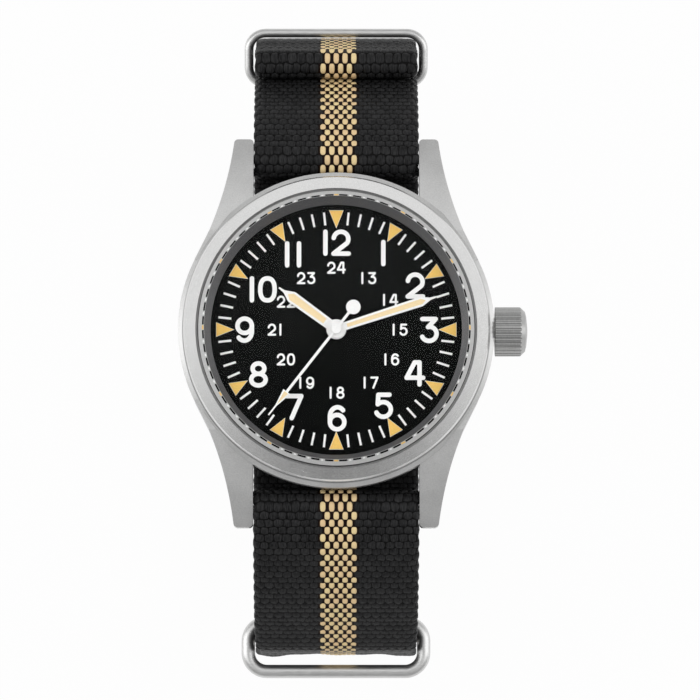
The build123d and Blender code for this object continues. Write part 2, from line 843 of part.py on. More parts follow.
# Movement
def main_plate():
    """Plate that carries the train, with the stem's bearings below and the dial's rim above."""
    plate = disc(plate_r, plate_z, dial_z) - disc(rim_r, plate_top_z, dial_z + cut_over)
    plate += block(bearing_from, rim_r, -bearing_w / 2, bearing_w / 2, plate_z - bearing_drop, plate_z)
    plate += block(inner_bearing_from, inner_bearing_to, -inner_bearing_w / 2, inner_bearing_w / 2,
                   stem_z - 3 * stem_pivot_r, plate_z)
    plate += disc(clip_post_r, battery_z, plate_z, clip_post_x, clip_post_y)
    plate += disc(clip_post_r, board_z + board_t, plate_z, board_x + clip_post_r, board_y + clip_post_r)
    plate -= disc(cannon_r + run_gap, 0, dial_z)
    plate -= block(bearing_from - cut_over, lever_pocket_x, lever_pocket_y, bearing_w, lever_z - slip_gap, plate_z)
    plate -= rod_x(stem_r + run_gap, inner_bearing_to, plate_r + cut_over, 0, stem_z)
    plate -= rod_x(stem_pivot_r + run_gap, stem_end_x - slip_gap, inner_bearing_to + cut_over, 0, stem_z)
    room = clutch_r + slip_gap
    plate -= rod_x(room, clutch_from - slip_gap, stem_groove_x + stem_groove_w, 0, stem_z)
    plate -= disc(setting_teeth * motion_module / 2 + motion_module + slip_gap, setting_z - slip_gap,
                  dial_z, *setting_at)
    plate -= disc(battery_r + slip_gap, 0, battery_z + battery_t + slip_gap, *battery_at)
    plate -= rod_x(winding_r + slip_gap, coil_x - winding_l / 2 - slip_gap, coil_x + winding_l / 2 + slip_gap,
                   coil_y, coil_z())
    can_x = board_x + board_l - can_inset
    plate -= rod_y(can_r + slip_gap, board_y, board_y + board_w, can_x, can_z())
    for place in (third_at, fifth_at, rotor_at):
        plate -= disc(pivot_r + pivot_gap, 0, pivot_high + pivot_gap, *place)
    for place in post_places:
        plate -= disc(screw_r + slip_gap / 2, 0, plate_z + screw_depth + slip_gap, *place)
    plate -= disc(screw_r + slip_gap / 2, 0, battery_z + 2 * screw_depth, clip_post_x, clip_post_y)
    for angle in dial_foot_angles:
        plate -= disc(dial_foot_r + slip_gap, 0, dial_z + cut_over, *around(angle, dial_foot_at_r))
    for place, z in ((minute_wheel_at, minute_wheel_z), (setting_at, setting_z)):
        plate += disc(post_pin_r, z - wheel_t - run_gap, minute_wheel_z + wheel_t, *place)
    plate += disc(work_pin_r, lever_z, plate_z, lever_pivot_x(), lever_pivot_y)
    return plate + disc(work_pin_r, lever_z, plate_z, yoke_pivot_x, yoke_pivot_y)


def train_bridge():
    """Bridge over the train on three posts, with a hole for each pivot."""
    around_places = [third_at, fifth_at, rotor_at, (0, 0)] + post_places
    rims = [Pos(*place) * CenterArc((0, 0), bridge_reach, 0, 360) for place in around_places]
    bridge = Pos(0, 0, bridge_z) * extrude(make_hull(rims), bridge_t)
    bridge -= disc(battery_r + 2 * slip_gap, 0, plate_z, *battery_at)
    for place in post_places:
        bridge += disc(post_r, bridge_z, plate_z, *place)
        bridge -= disc(screw_r + slip_gap / 2, 0, plate_z + cut_over, *place)
    for place in (third_at, fifth_at, rotor_at, (0, 0)):
        bridge -= disc(pivot_r + pivot_gap, 0, plate_z, *place)
    return bridge


def movement_screws():
    """Bridge and battery-clip screws, slotted."""
    screws = []
    for place, z in [(place, bridge_z) for place in post_places] + [((clip_post_x, clip_post_y), battery_z - clip_t)]:
        end = plate_z + screw_depth if z == bridge_z else battery_z + screw_depth
        screw = disc(screw_head_r, z - screw_head_t, z, *place) + disc(screw_r, z, end, *place)
        slot = block(-screw_head_r, screw_head_r, -screw_r / 4, screw_r / 4, z - screw_head_t - cut_over,
                     z - screw_head_t / 2)
        screws.append(screw - Pos(place[0], place[1], 0) * slot)
    return Compound(screws)


def movement_holder():
    """Ring that centres the movement in the case."""
    ring = disc(holder_r, holder_z, dial_z) - disc(plate_r + holder_in_gap, 0, dial_z + cut_over)
    return ring - rod_x(stem_way_r, 0, case_r, 0, stem_z)


def dial_washer():
    """Thin washer that holds the hour wheel down."""
    z = hour_wheel_z + wheel_t + slip_gap / 2
    return disc(washer_out_r, z, z + washer_t) - disc(washer_in_r, 0, dial_z)


def coil_z():
    return stator_z - core_t / 2


def coil_core():
    """Soft-iron core under both ends of the stator."""
    z = coil_z()
    return block(coil_x - core_l / 2, coil_x + core_l / 2, coil_y - core_w / 2, coil_y + core_w / 2,
                 z - core_t / 2, z + core_t / 2)


def coil_winding():
    half = winding_l / 2
    winding = rod_x(winding_r, coil_x - half, coil_x + half, coil_y, coil_z())
    return winding - coil_core()


def stator():
    """Two limbs from the coil's ends to the hole round the magnet."""
    left = coil_x - core_l / 2
    right = coil_x + core_l / 2
    low = coil_y - core_w / 2
    high = rotor_at[1] + magnet_r + slip_gap * 9
    arm_low = low + 2 * winding_r + stator_yoke_w / 2
    top = stator_z + stator_t
    plate = block(rotor_at[0] - stator_limb_w / 2, rotor_at[0] + stator_limb_w / 2, low, high, stator_z, top)
    plate += block(rotor_at[0], right, arm_low, arm_low + stator_yoke_w, stator_z, top)
    plate += block(right - stator_yoke_w, right, low, arm_low + stator_yoke_w, stator_z, top)
    plate -= disc(stator_hole_r, 0, plate_z, *rotor_at)
    return plate - disc(winding_r / 8, 0, plate_z, left + stator_yoke_w / 2, coil_y)


def battery():
    """Button cell, its can stepped at the seal."""
    z = battery_z
    cell = disc(battery_r, z + battery_step, z + battery_t, *battery_at)
    return cell + disc(battery_r - battery_step, z, z + battery_step, *battery_at)


def battery_clip():
    """Contact strip from its screw post to the middle of the cell."""
    dx, dy = battery_x - clip_post_x, battery_y - clip_post_y
    length = math.hypot(dx, dy)
    z = battery_z - clip_t
    strip = block(0, length, -clip_w / 2, clip_w / 2, z, battery_z)
    strip += disc(clip_w / 2, z, battery_z) + disc(clip_w / 2, z, battery_z, length, 0)
    strip -= disc(screw_r + slip_gap / 2, 0, plate_z)
    return Pos(clip_post_x, clip_post_y, 0) * Rot(0, 0, math.degrees(math.atan2(dy, dx))) * strip


def can_z():
    return board_z + board_t + can_r


def circuit_board():
    """Circuit board with its chip under a round cap."""
    z = board_z
    board = block(board_x, board_x + board_l, board_y, board_y + board_w, z, z + board_t)
    chip = disc(chip_w / 2, z - chip_t, z, board_x + chip_w * 3 / 4, board_y + board_w - chip_w)
    return board + chip


def quartz_can():
    """Tuning-fork can on the board."""
    x = board_x + board_l - can_inset
    y = board_y + (board_w - can_l) / 2
    return rod_y(can_r, y, y + can_l, x, can_z())


# Crown and keyless works
def crown():
    """Fluted crown with a chamfered, slightly domed end, hollow over the tube."""
    body = turned_x([
        (crown_in_x, 0), (crown_in_x, crown_r), (crown_flute_x, crown_r), (crown_edge_x, crown_end_r),
        (crown_dome_x, crown_end_r * 3 / 4), (crown_end_x, crown_end_r / 4), (crown_end_x, 0),
    ])
    flutes = []
    for i in range(flute_count):
        y, z = around(i * 360 / flute_count, crown_r + flute_r / 4)
        flutes.append(rod_x(flute_r, crown_in_x - cut_over, crown_end_x, y, z))
    body -= flutes
    body -= rod_x(crown_bore_r, crown_in_x - cut_over, crown_bore_x)
    body += rod_x(crown_boss_r, crown_boss_x, crown_bore_x)
    body -= rod_x(stem_r, crown_in_x, crown_thread_x)
    return Pos(0, 0, stem_z) * body


def crown_gasket():
    ring = Pos(crown_gasket_x, 0, stem_z) * Rot(0, 90, 0) * Torus((crown_bore_r + tube_out_r) / 2, crown_gasket_r)
    return ring


def crown_tube():
    """Tube pressed into the case side."""
    tube = rod_x(tube_out_r, tube_in_x, tube_end_x, 0, stem_z)
    return tube - rod_x(tube_bore_r, 0, case_r + case_r, 0, stem_z)


def stem():
    """Stem: crown thread, lever groove, square for the clutch, and pivot."""
    body = turned_x([
        (stem_end_x, 0), (stem_end_x, stem_pivot_r), (stem_square_from, stem_pivot_r),
        (stem_square_from, 0),
    ])
    body += turned_x([
        (stem_square_to, 0), (stem_square_to, stem_r), (stem_groove_x, stem_r),
        (stem_groove_x, stem_groove_r), (stem_groove_x + stem_groove_w, stem_groove_r),
        (stem_groove_x + stem_groove_w, stem_r), (crown_thread_x, stem_r), (crown_thread_x, 0),
    ])
    half = stem_square / 2
    body += block(stem_square_from, stem_square_to, -half, half, -half, half)
    return Pos(0, 0, stem_z) * body


def sliding_pinion():
    """Clutch on the stem's square, with the yoke's groove."""
    mid = clutch_groove_x
    body = turned_x([
        (clutch_from, 0), (clutch_from, clutch_r), (mid - clutch_groove_w / 2, clutch_r),
        (mid - clutch_groove_w / 2, clutch_groove_r), (mid + clutch_groove_w / 2, clutch_groove_r),
        (mid + clutch_groove_w / 2, clutch_r), (clutch_to, clutch_r), (clutch_to, 0),
    ])
    half = stem_square / 2 + slip_gap / 2
    body -= block(0, case_r, -half, half, -half, half)
    return Pos(0, 0, stem_z) * body


def lever_pivot_x():
    return stem_groove_x + stem_groove_w / 2 + crown_pull / 2


def setting_lever():
    """Lever whose nose rides in the stem's groove."""
    x, y = lever_pivot_x(), lever_pivot_y
    nose_x = stem_groove_x + stem_groove_w / 2
    nose_y = stem_groove_r + 3 * slip_gap
    top = lever_z + lever_t
    half = lever_nose_w / 2
    lever = disc(lever_w, lever_z, top, x, y)
    lever += slab([
        (nose_x - half, nose_y), (nose_x + half, nose_y), (nose_x + half, stem_r + half),
        (x + lever_w / 2, y), (x - lever_w / 2, y), (nose_x - half, stem_r + half),
    ], lever_z, top)
    lever += slab([
        (x, y - lever_w / 2), (x, y + lever_w / 2), (x - lever_tail, y + lever_w), (x - lever_tail, y + lever_w / 3),
    ], lever_z, top)
    return lever - disc(work_pin_r + run_gap, 0, plate_z, x, y)


def yoke():
    """Springy lever with its nose in the clutch's groove."""
    x, y = yoke_pivot_x, yoke_pivot_y
    nose_y = clutch_groove_r + slip_gap
    half = yoke_nose_w / 2
    top = lever_z + lever_t
    nose_x = clutch_groove_x + half
    arm = disc(yoke_w, lever_z, top, x, y)
    arm += slab([
        (nose_x - half, nose_y), (nose_x + half, nose_y), (nose_x + half, clutch_r + half),
        (x + yoke_w, y), (x, y - yoke_w), (nose_x - half, clutch_r + half),
    ], lever_z, top)
    return arm - disc(work_pin_r + run_gap, 0, plate_z, x, y)


# Spring bars
def bar_tube(y):
    """Spring bar's barrel, its ends crimped in."""
    half = bar_half
    tube = rod_x(bar_r, -half, half, y, bar_z) - rod_x(bar_crimp_r, -half - cut_over, half + cut_over, y, bar_z)
    return tube - rod_x(bar_bore_r, bar_crimp - half, half - bar_crimp, y, bar_z)


def bar_plunger(y, side):
    """Sprung end piece: body in the barrel, flange and tip in the lug's hole."""
    inner = bar_half - bar_crimp - slip_gap
    plunger = rod_x(plunger_r, inner - plunger_l, inner)
    plunger += rod_x(plunger_tip_r, inner, lug_gap / 2 + plunger_tip)
    plunger += rod_x(flange_r, flange_out - flange_t, flange_out)
    return Pos(0, y, bar_z) * (plunger if side > 0 else mirror(plunger, Plane.YZ))


def bar_spring(y):
    """Coil between the two plungers, as short as they leave it when both are pushed in."""
    inner = bar_half - bar_crimp - plunger_l - plunger_travel - bar_spring_wire - 2 * slip_gap
    path = Helix(2 * inner / bar_spring_turns, 2 * inner, bar_spring_r, center=(-inner, 0, 0), direction=(1, 0, 0))
    section = Plane(origin=path @ 0, z_dir=path % 0) * Circle(bar_spring_wire)
    return Pos(0, y, bar_z) * sweep(section, path=path, is_frenet=True)


def crystal_gasket():
    """Gasket squeezed between the crystal's edge and the case's neck."""
    gap = slip_gap / 2
    ring = disc(neck_bore_r - gap, chapter_top_z - crystal_gasket_low, neck_top_z)
    return ring - disc(crystal_r + gap, 0, crystal_top_z)


def case_back_gasket():
    return Pos(0, 0, back_flange_t + back_gasket_r) * Torus(back_gasket_mid_r, back_gasket_r)


# Strap: a band of even thickness along a route of (y, z, radius) corners
def plus(point, *steps):
    """Point moved by (vector, distance) steps."""
    y, z = point
    for vector, distance in steps:
        y += vector[0] * distance
        z += vector[1] * distance
    return (y, z)


def towards(a, b):
    length = math.dist(a, b)
    return ((b[0] - a[0]) / length, (b[1] - a[1]) / length)


def left_of(vector):
    return (-vector[1], vector[0])


def shifted(points, offset):
    """Corners moved to the left of their direction by an even offset."""
    moved = []
    for i, point in enumerate(points):
        before = towards(points[max(i, 1) - 1], points[max(i, 1)])
        after = towards(points[i], points[i + 1]) if i < len(points) - 1 else before
        side = plus(left_of(before), (left_of(after), 1))
        moved.append(plus(point, (side, 2 * offset / (side[0] ** 2 + side[1] ** 2))))
    return moved


def turn_at(points, i):
    """Signed turn at a corner in radians, positive to the left."""
    a, b = towards(points[i - 1], points[i]), towards(points[i], points[i + 1])
    return math.atan2(a[0] * b[1] - a[1] * b[0], a[0] * b[0] + a[1] * b[1])


def free_radii(points, radii):
    """Gives each corner without a radius one as large as its two runs allow."""
    used = [0] * len(points)
    for i in range(1, len(points) - 1):
        if radii[i] is not None:
            used[i] = radii[i] * math.tan(abs(turn_at(points, i)) / 2)
    filled = list(radii)
    for i in range(1, len(points) - 1):
        if radii[i] is None:
            runs = [math.dist(points[i], points[j]) - used[j] for j in (i - 1, i + 1)]
            filled[i] = free_bend_share * min(runs) / math.tan(abs(turn_at(points, i)) / 2)
    return filled


def followed(route, offset):
    """Route at an even offset to the left of another, its bends about the same centres."""
    points = [(y, z) for y, z, _ in route]
    moved = []
    for i, (y, z) in enumerate(shifted(points, offset)):
        r = route[i][2]
        if 0 < i < len(points) - 1:
            r -= offset * math.copysign(1, turn_at(points, i))
        moved.append((y, z, r))
    return moved


def spine(route):
    """Middle line of a route, in its own plane."""
    return FilletPolyline(*[(y, z) for y, z, _ in route], radius=[r for _, _, r in route[1:-1]])


def band(route, thickness, width):
    """Strap along a route."""
    edges = []
    ends = []
    for offset in (thickness / 2, -thickness / 2):
        side = spine(followed(route, offset))
        edges += side.edges()
        ends.append((side @ 0, side @ 1))
    closing = [Line(ends[0][i], ends[1][i]) for i in (0, 1)]
    return extrude(Plane.YZ * make_face([*edges, *closing]), width / 2, both=True)


# Places along the strap
pitch = strap_t + layer_gap
hinge_wrap = frame_r + bar_clear + strap_t / 2
hinge = (hinge_y, -loop_z + hinge_wrap)
far_bar = (hinge_y - buckle_reach, hinge[1] - buckle_drop)
bar_height = head_z + bar_z


def over_bar(side, angle):
    """Corner at which the strap turns over a spring bar and leaves at an angle below level."""
    slope = math.radians(angle)
    rise = wrap_r / math.cos(slope) + wrap_r * math.tan(slope)
    return (side * (bar_y - wrap_r), bar_height + rise, wrap_r)


def off_bar(side, share, angle):
    """Next corner, where the run that leaves the bar ends."""
    slope = math.radians(angle)
    y = loop_y * share
    return (side * y, bar_height + wrap_r / math.cos(slope) - (y - bar_y) * math.tan(slope), None)


def filled_in(route):
    radii = free_radii([(y, z) for y, z, _ in route], [r for _, _, r in route])
    return [(y, z, r) for (y, z, _), r in zip(route, radii)]


def upper_flank():
    """Corners from the bar at twelve o'clock down to the buckle's bar."""
    bends = [None, None, None, flank_bend_r, buckle_bend_r]
    route = [(bar_y - wrap_r, under_z, under_turn_r), over_bar(1, upper_exit), off_bar(1, upper_exit_share, upper_exit)]
    route += [(loop_y * y, loop_z * z, r) for (y, z), r in zip(upper_shares, bends)]
    route.append((hinge[0] - hinge_wrap, -loop_z, hinge_wrap - turn_ease))
    return filled_in(route)


def lower_flank():
    """Corners from the bar at six o'clock down, through the buckle and into the tail."""
    bends = [None, ring_bend_r, None, None, None]
    route = [(wrap_r - bar_y, under_z, under_turn_r), over_bar(-1, lower_exit),
             off_bar(-1, lower_exit_share, lower_exit)]
    route += [(-loop_y * y, loop_z * z, r) for (y, z), r in zip(lower_shares, bends)]
    route.append((far_bar[0], far_bar[1] + frame_r + 2 * bar_clear + strap_t / 2, ring_bend_r))
    route.append((hinge[0] - tail_meet, -loop_z - pitch, tail_turn_r))
    return filled_in(route + [(loop_y * upper_shares[-1][0], -loop_z - pitch, 0)])[:-1]


upper = upper_flank()
lower = lower_flank()
low_corner, flank_corner, side_corner, shoulder = [point[:2] for point in reversed(upper[4:8])]
hem_way = towards(low_corner, flank_corner)
side_way = towards(shoulder, side_corner)
fold_way = towards(shoulder, upper[3][:2])


def hem_route():
    """Strap's end, folded back round the buckle's bar on the wrist side and sewn down."""
    rising = [point for point in reversed(upper[5:])]
    wrist = left_of(hem_way)
    close = followed([(hinge[0], -loop_z, 0)] + rising[1:], pitch)
    wide = followed([(hinge[0], -loop_z, 0)] + rising[1:], 2 * hinge_wrap)
    end = plus(close[2][:2], (towards(close[2][:2], close[3][:2]), hem_end_share * math.dist(close[2][:2], close[3][:2])))
    return [
        (*end, 0), close[2],
        (*plus(low_corner, (hem_way, hem_close_at), (wrist, pitch)), hem_bend_r),
        (*plus(low_corner, (hem_way, hem_open_to), (wrist, 2 * hinge_wrap)), hem_bend_r),
        wide[1], (hinge[0] - hinge_wrap, -loop_z + 2 * hinge_wrap, hinge_wrap - turn_ease),
    ]


def tail_route():
    """Tail outside the upper flank, folded near the lug and tucked back through the upper ring."""
    rising = [point for point in reversed(upper[3:-1])]
    start = (hinge[0], -loop_z, 0)
    outside = followed([start] + rising, -pitch)[1:-1]
    tucked = followed([start] + rising, -tuck_offset)[4]
    out = left_of(side_way)
    fold = plus(shoulder, (fold_way, fold_at), ((fold_way[1], -fold_way[0]), pitch))
    over = plus(fold, ((fold_way[1], -fold_way[0]), 2 * fold_half))
    end = plus(shoulder, (side_way, tuck_l), (out, tuck_offset))
    return outside + [(*fold, fold_r), (*over, fold_r), (tucked[0], tucked[1], tucked[2] * tuck_bend_share), (*end, 0)]




def keeper_route():
    """Short strap that lies on the wrist, sewn to the main strap above and looped round the end ring."""
    low = strap_t / 2
    ring = (-end_ring_y, -end_ring_z)
    eye = end_wire + wire_gap + strap_t / 2
    bottom = ring[1] - eye
    knee = followed(lower[3:6], pitch)[1][:2]
    joined = (ring[0] - eye, knee[1])
    corner = (-keeper_lower_y, low)
    rise = towards(joined, corner)
    inside = (rise[1], -rise[0])
    reach = plus(joined, (inside, pitch))
    turn = plus(reach, (rise, (ring[0] + eye - reach[0]) / rise[0]))
    wrist = (-left_of(side_way)[0], -left_of(side_way)[1])
    past = plus(ring_on_upper(), (ring_way(), keeper_past), (inward(), strap_t + 2 * wire_gap + 2 * upper_wire))
    return [
        (*plus(turn, (rise, keeper_hem_l)), 0), (*turn, keeper_bend_r),
        (ring[0] + eye, bottom, eye - turn_ease), (ring[0] - eye, bottom, eye - turn_ease),
        (*joined, keeper_bend_r), (*corner, keeper_bend_r), (keeper_upper_y, low, keeper_bend_r),
        (*past, keeper_bend_r),
        (*plus(shoulder, (side_way, keeper_close_at), (wrist, pitch)), keeper_bend_r),
        (*plus(shoulder, (side_way, keeper_end_at), (wrist, pitch)), 0),
    ]


def on_upper(measure):
    """Something read off the main strap's middle line where the upper ring's wire lies."""
    return measure(spine(upper[1:]), upper_ring_along)


def ring_on_upper():
    place = on_upper(lambda line, along: line.position_at(along, position_mode=PositionMode.LENGTH))
    return (place.X, place.Y)


def ring_way():
    way = on_upper(lambda line, along: line.tangent_at(along, position_mode=PositionMode.LENGTH))
    return (way.X, way.Y)


def inward():
    way = ring_way()
    return (way[1], -way[0])


def ring_wire(held, tilt, wire_r, open_w, open_h, extra=0):
    """Ring of round wire; its held side runs through a point and its far side lies at a tilt."""
    half_w = open_w / 2 + wire_r
    far = open_h + 2 * wire_r
    rise = (0, math.cos(math.radians(tilt)), math.sin(math.radians(tilt)))
    plane = Plane(origin=(0, *held), x_dir=(1, 0, 0), z_dir=(0, -rise[2], rise[1]))
    corners = [(half_w, 0), (half_w, far), (-half_w, far), (-half_w, 0)]
    path = plane * FilletPolyline(*corners, radius=ring_corner_r + wire_r, close=True)
    section = Plane(origin=path @ 0, z_dir=path % 0) * Circle(wire_r + extra)
    return sweep(section, path=path)


def tilt_of(vector):
    return math.degrees(math.atan2(vector[1], vector[0]))


def end_ring(extra=0, swing=0):
    return ring_wire((-end_ring_y, -end_ring_z), 180 + swing, end_wire, end_open_w, end_open_h, extra)


def upper_ring(extra=0, swing=0):
    held = plus(ring_on_upper(), (inward(), strap_t / 2 + wire_gap + upper_wire))
    out = (-inward()[0], -inward()[1])
    return ring_wire(held, tilt_of(out) + swing, upper_wire, upper_open_w, upper_open_h, extra)


def buckle_ring(extra=0, swing=0):
    wrist = left_of(hem_way)
    held = plus(low_corner, (hem_way, buckle_ring_at), (wrist, strap_t / 2 + wire_gap + buckle_ring_wire))
    out = (-wrist[0], -wrist[1])
    return ring_wire(held, tilt_of(out) + swing, buckle_ring_wire, buckle_ring_open_w, buckle_ring_open_h, extra)


def buckle_frame():
    """Closed frame of round wire; one side is the strap's hinge bar and the other carries the tongue's end."""
    half_w = strap_w / 2 + frame_side_gap + frame_r
    way = towards(hinge, far_bar)
    far = math.dist(hinge, far_bar)
    plane = Plane(origin=(0, *hinge), x_dir=(1, 0, 0), z_dir=(0, -way[1], way[0]))
    corners = [(half_w, 0), (half_w, far), (-half_w, far), (-half_w, 0)]
    path = plane * FilletPolyline(*corners, radius=frame_bend_r, close=True)
    section = Plane(origin=path @ 0, z_dir=path % 0) * Circle(frame_r)
    return sweep(section, path=path)


def tongue_way():
    """Direction of the tongue, from the hinge bar to its rest on the far bar."""
    way = towards(hinge, far_bar)
    reach = math.dist(hinge, far_bar)
    lean = math.asin((frame_r + bar_clear + tongue_r) / reach)
    return (way[0] * math.cos(lean) - way[1] * math.sin(lean), way[0] * math.sin(lean) + way[1] * math.cos(lean))


def buckle_tongue():
    """Round tongue with an eye on the hinge bar and a rounded end past the far bar."""
    way = tongue_way()
    length = math.dist(hinge, far_bar) + tongue_past
    plane = Plane(origin=(0, *hinge), x_dir=(1, 0, 0), z_dir=(0, *way))
    tongue = plane * extrude(Circle(tongue_r), length)
    tip = plus(hinge, (way, length))
    tongue += Pos(0, *tip) * Sphere(tongue_r)
    half = tongue_eye_w / 2
    tongue += rod_x(tongue_eye_r, -half, half, *hinge)
    return tongue - rod_x(frame_r + run_gap, -tongue_eye_w, tongue_eye_w, *hinge)


def hole_place(line, along):
    """Plane on the strap's middle, its X along the strap."""
    place = line.position_at(along, position_mode=PositionMode.LENGTH)
    way = line.tangent_at(along, position_mode=PositionMode.LENGTH)
    return Plane(origin=(0, place.X, place.Y), x_dir=(0, way.X, way.Y), z_dir=(0, -way.Y, way.X))


def tongue_crossings():
    """Places on the tail's run under the buckle that the tongue crosses, at rest and swung out."""
    start, end = lower[-2][:2], lower[-1][:2]
    way = towards(start, end)
    found = []
    for swing in (0, math.radians(tongue_swing)):
        ty, tz = tongue_way()
        ty, tz = ty * math.cos(swing) - tz * math.sin(swing), ty * math.sin(swing) + tz * math.cos(swing)
        dy, dz = hinge[0] - start[0], hinge[1] - start[1]
        found.append((dy * tz - dz * ty) / (way[0] * tz - way[1] * ty))
    sine = abs(way[0] * tz - way[1] * ty)
    return found, tongue_r / sine + strap_t / 2 * math.sqrt(1 / sine ** 2 - 1)


def main_strap():
    """Main strap: hem, buckle fold, upper flank, run under the case, lower flank and tail."""
    strap = band(hem_route() + list(reversed(upper)) + lower + tail_route(), strap_t, strap_w)
    tail = spine([(*lower[-4][:2], 0)] + lower[-3:] + tail_route()[:5])
    (first, last), reach = tongue_crossings()
    run_start = math.dist(lower[-4][:2], lower[-3][:2])
    shift = tail.length - spine([(*lower[-2][:2], 0), *lower[-1:], *tail_route()[:5]]).length
    middle = shift + (first + last) / 2
    slot_l = abs(last - first) + 2 * (reach + bar_clear)
    cut = strap_t / 2 + layer_gap / 2
    strap -= hole_place(tail, middle) * extrude(SlotOverall(slot_l, hole_w), cut, both=True)
    for i in range(-holes_before, holes_past + 1):
        if i:
            strap -= hole_place(tail, middle + i * hole_pitch) * extrude(Circle(hole_r), cut, both=True)
    fold_r = hinge_wrap + strap_t / 2 + wire_gap
    half = slot_w / 2
    strap -= rod_x(fold_r, -half, half, *hinge)
    strap -= block(-half, half, hinge[0], hinge[0] + slot_back, hinge[1] - fold_r, hinge[1] + fold_r)
    for ring in (upper_ring, buckle_ring, end_ring):
        for swing in (-ring_swing, 0, ring_swing):
            strap -= ring(ring_room, swing)
    return strap


def keeper_strap():
    strap = band(keeper_route(), strap_t, strap_w)
    for ring in (upper_ring, end_ring):
        for swing in (-ring_swing, 0, ring_swing):
            strap -= ring(ring_room, swing)
    return strap


for side_name, bar_side in (("upper", 1), ("lower", -1)):
    head(side_name + "_spring_bar_tube", bar_tube(bar_side * bar_y))
    head(side_name + "_spring_bar_spring", bar_spring(bar_side * bar_y))
    head(side_name + "_plunger_crown_side", bar_plunger(bar_side * bar_y, 1))
    head(side_name + "_plunger_far_side", bar_plunger(bar_side * bar_y, -1))

hour_metal, hour_fill = hour_hand()
minute_metal, minute_fill = minute_hand()
second_metal, second_fill = second_hand()
head_pieces = {
    "case_middle": case_middle(),
    "case_back": case_back(),
    "bezel": bezel(),
    "crystal": crystal(),
    "chapter_ring": chapter_ring(),
    "crystal_gasket": crystal_gasket(),
    "case_back_gasket": case_back_gasket(),
    "dial": dial(),
    "dial_triangles": dial_triangles(),
    "hour_hand": hour_metal,
    "hour_hand_fill": hour_fill,
    "minute_hand": minute_metal,
    "minute_hand_fill": minute_fill,
    "second_hand": second_metal,
    "second_hand_fill": second_fill,
    "crown": crown(),
    "crown_gasket": crown_gasket(),
    "crown_tube": crown_tube(),
    "stem": stem(),
    "sliding_pinion": sliding_pinion(),
    "setting_lever": setting_lever(),
    "yoke": yoke(),
    "setting_wheel": setting_wheel(),
    "main_plate": main_plate(),
    "train_bridge": train_bridge(),
    "movement_screws": movement_screws(),
    "movement_holder": movement_holder(),
    "battery": battery(),
    "battery_clip": battery_clip(),
    "circuit_board": circuit_board(),
    "quartz_can": quartz_can(),
    "coil_core": coil_core(),
    "coil_winding": coil_winding(),
    "stator": stator(),
    "rotor": rotor(),
    "fifth_wheel": fifth_wheel(),
    "fourth_wheel": fourth_wheel(),
    "third_wheel": third_wheel(),
    "centre_wheel": centre_wheel(),
    "minute_wheel": minute_wheel(),
    "hour_wheel": hour_wheel(),
    "dial_washer": dial_washer(),
}
for piece_name, piece in head_pieces.items():
    head(piece_name, piece)

strap_pieces = {
    "main_strap": main_strap(),
    "keeper_strap": keeper_strap(),
    "end_ring": end_ring(),
    "upper_keeper_ring": upper_ring(),
    "buckle_keeper_ring": buckle_ring(),
    "buckle_frame": buckle_frame(),
    "buckle_tongue": buckle_tongue(),
}
for piece_name, piece in strap_pieces.items():
    write(piece_name, piece)
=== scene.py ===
# Field watch on a woven strap: finishes, printed dial, woven straps, light and camera.
import bpy
import math
import numpy as np
from mathutils import Matrix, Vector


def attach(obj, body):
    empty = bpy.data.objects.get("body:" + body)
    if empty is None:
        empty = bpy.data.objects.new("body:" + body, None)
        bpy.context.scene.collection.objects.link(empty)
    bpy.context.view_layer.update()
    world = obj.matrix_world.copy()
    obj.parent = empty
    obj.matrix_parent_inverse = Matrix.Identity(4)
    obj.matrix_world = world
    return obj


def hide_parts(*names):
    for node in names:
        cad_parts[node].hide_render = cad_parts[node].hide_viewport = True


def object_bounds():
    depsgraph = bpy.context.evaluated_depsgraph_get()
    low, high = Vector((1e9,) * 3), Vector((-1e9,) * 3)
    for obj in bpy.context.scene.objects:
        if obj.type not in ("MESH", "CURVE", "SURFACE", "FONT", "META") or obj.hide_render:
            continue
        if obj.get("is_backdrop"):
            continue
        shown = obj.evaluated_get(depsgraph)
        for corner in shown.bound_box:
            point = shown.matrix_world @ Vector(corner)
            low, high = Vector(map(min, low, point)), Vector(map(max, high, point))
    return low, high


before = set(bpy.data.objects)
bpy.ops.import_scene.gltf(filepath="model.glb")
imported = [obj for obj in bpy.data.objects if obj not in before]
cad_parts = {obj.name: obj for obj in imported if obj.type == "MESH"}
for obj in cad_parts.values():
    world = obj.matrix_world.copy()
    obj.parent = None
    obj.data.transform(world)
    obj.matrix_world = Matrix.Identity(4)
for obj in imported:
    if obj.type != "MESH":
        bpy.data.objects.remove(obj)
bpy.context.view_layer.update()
print("frame loaded,", len(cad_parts), "nodes")

mm = 0.001
headLift = 3.1                      # the case back's seat above the wrist side of the strap
dialTop = headLift + 5.9            # level of the painted dial


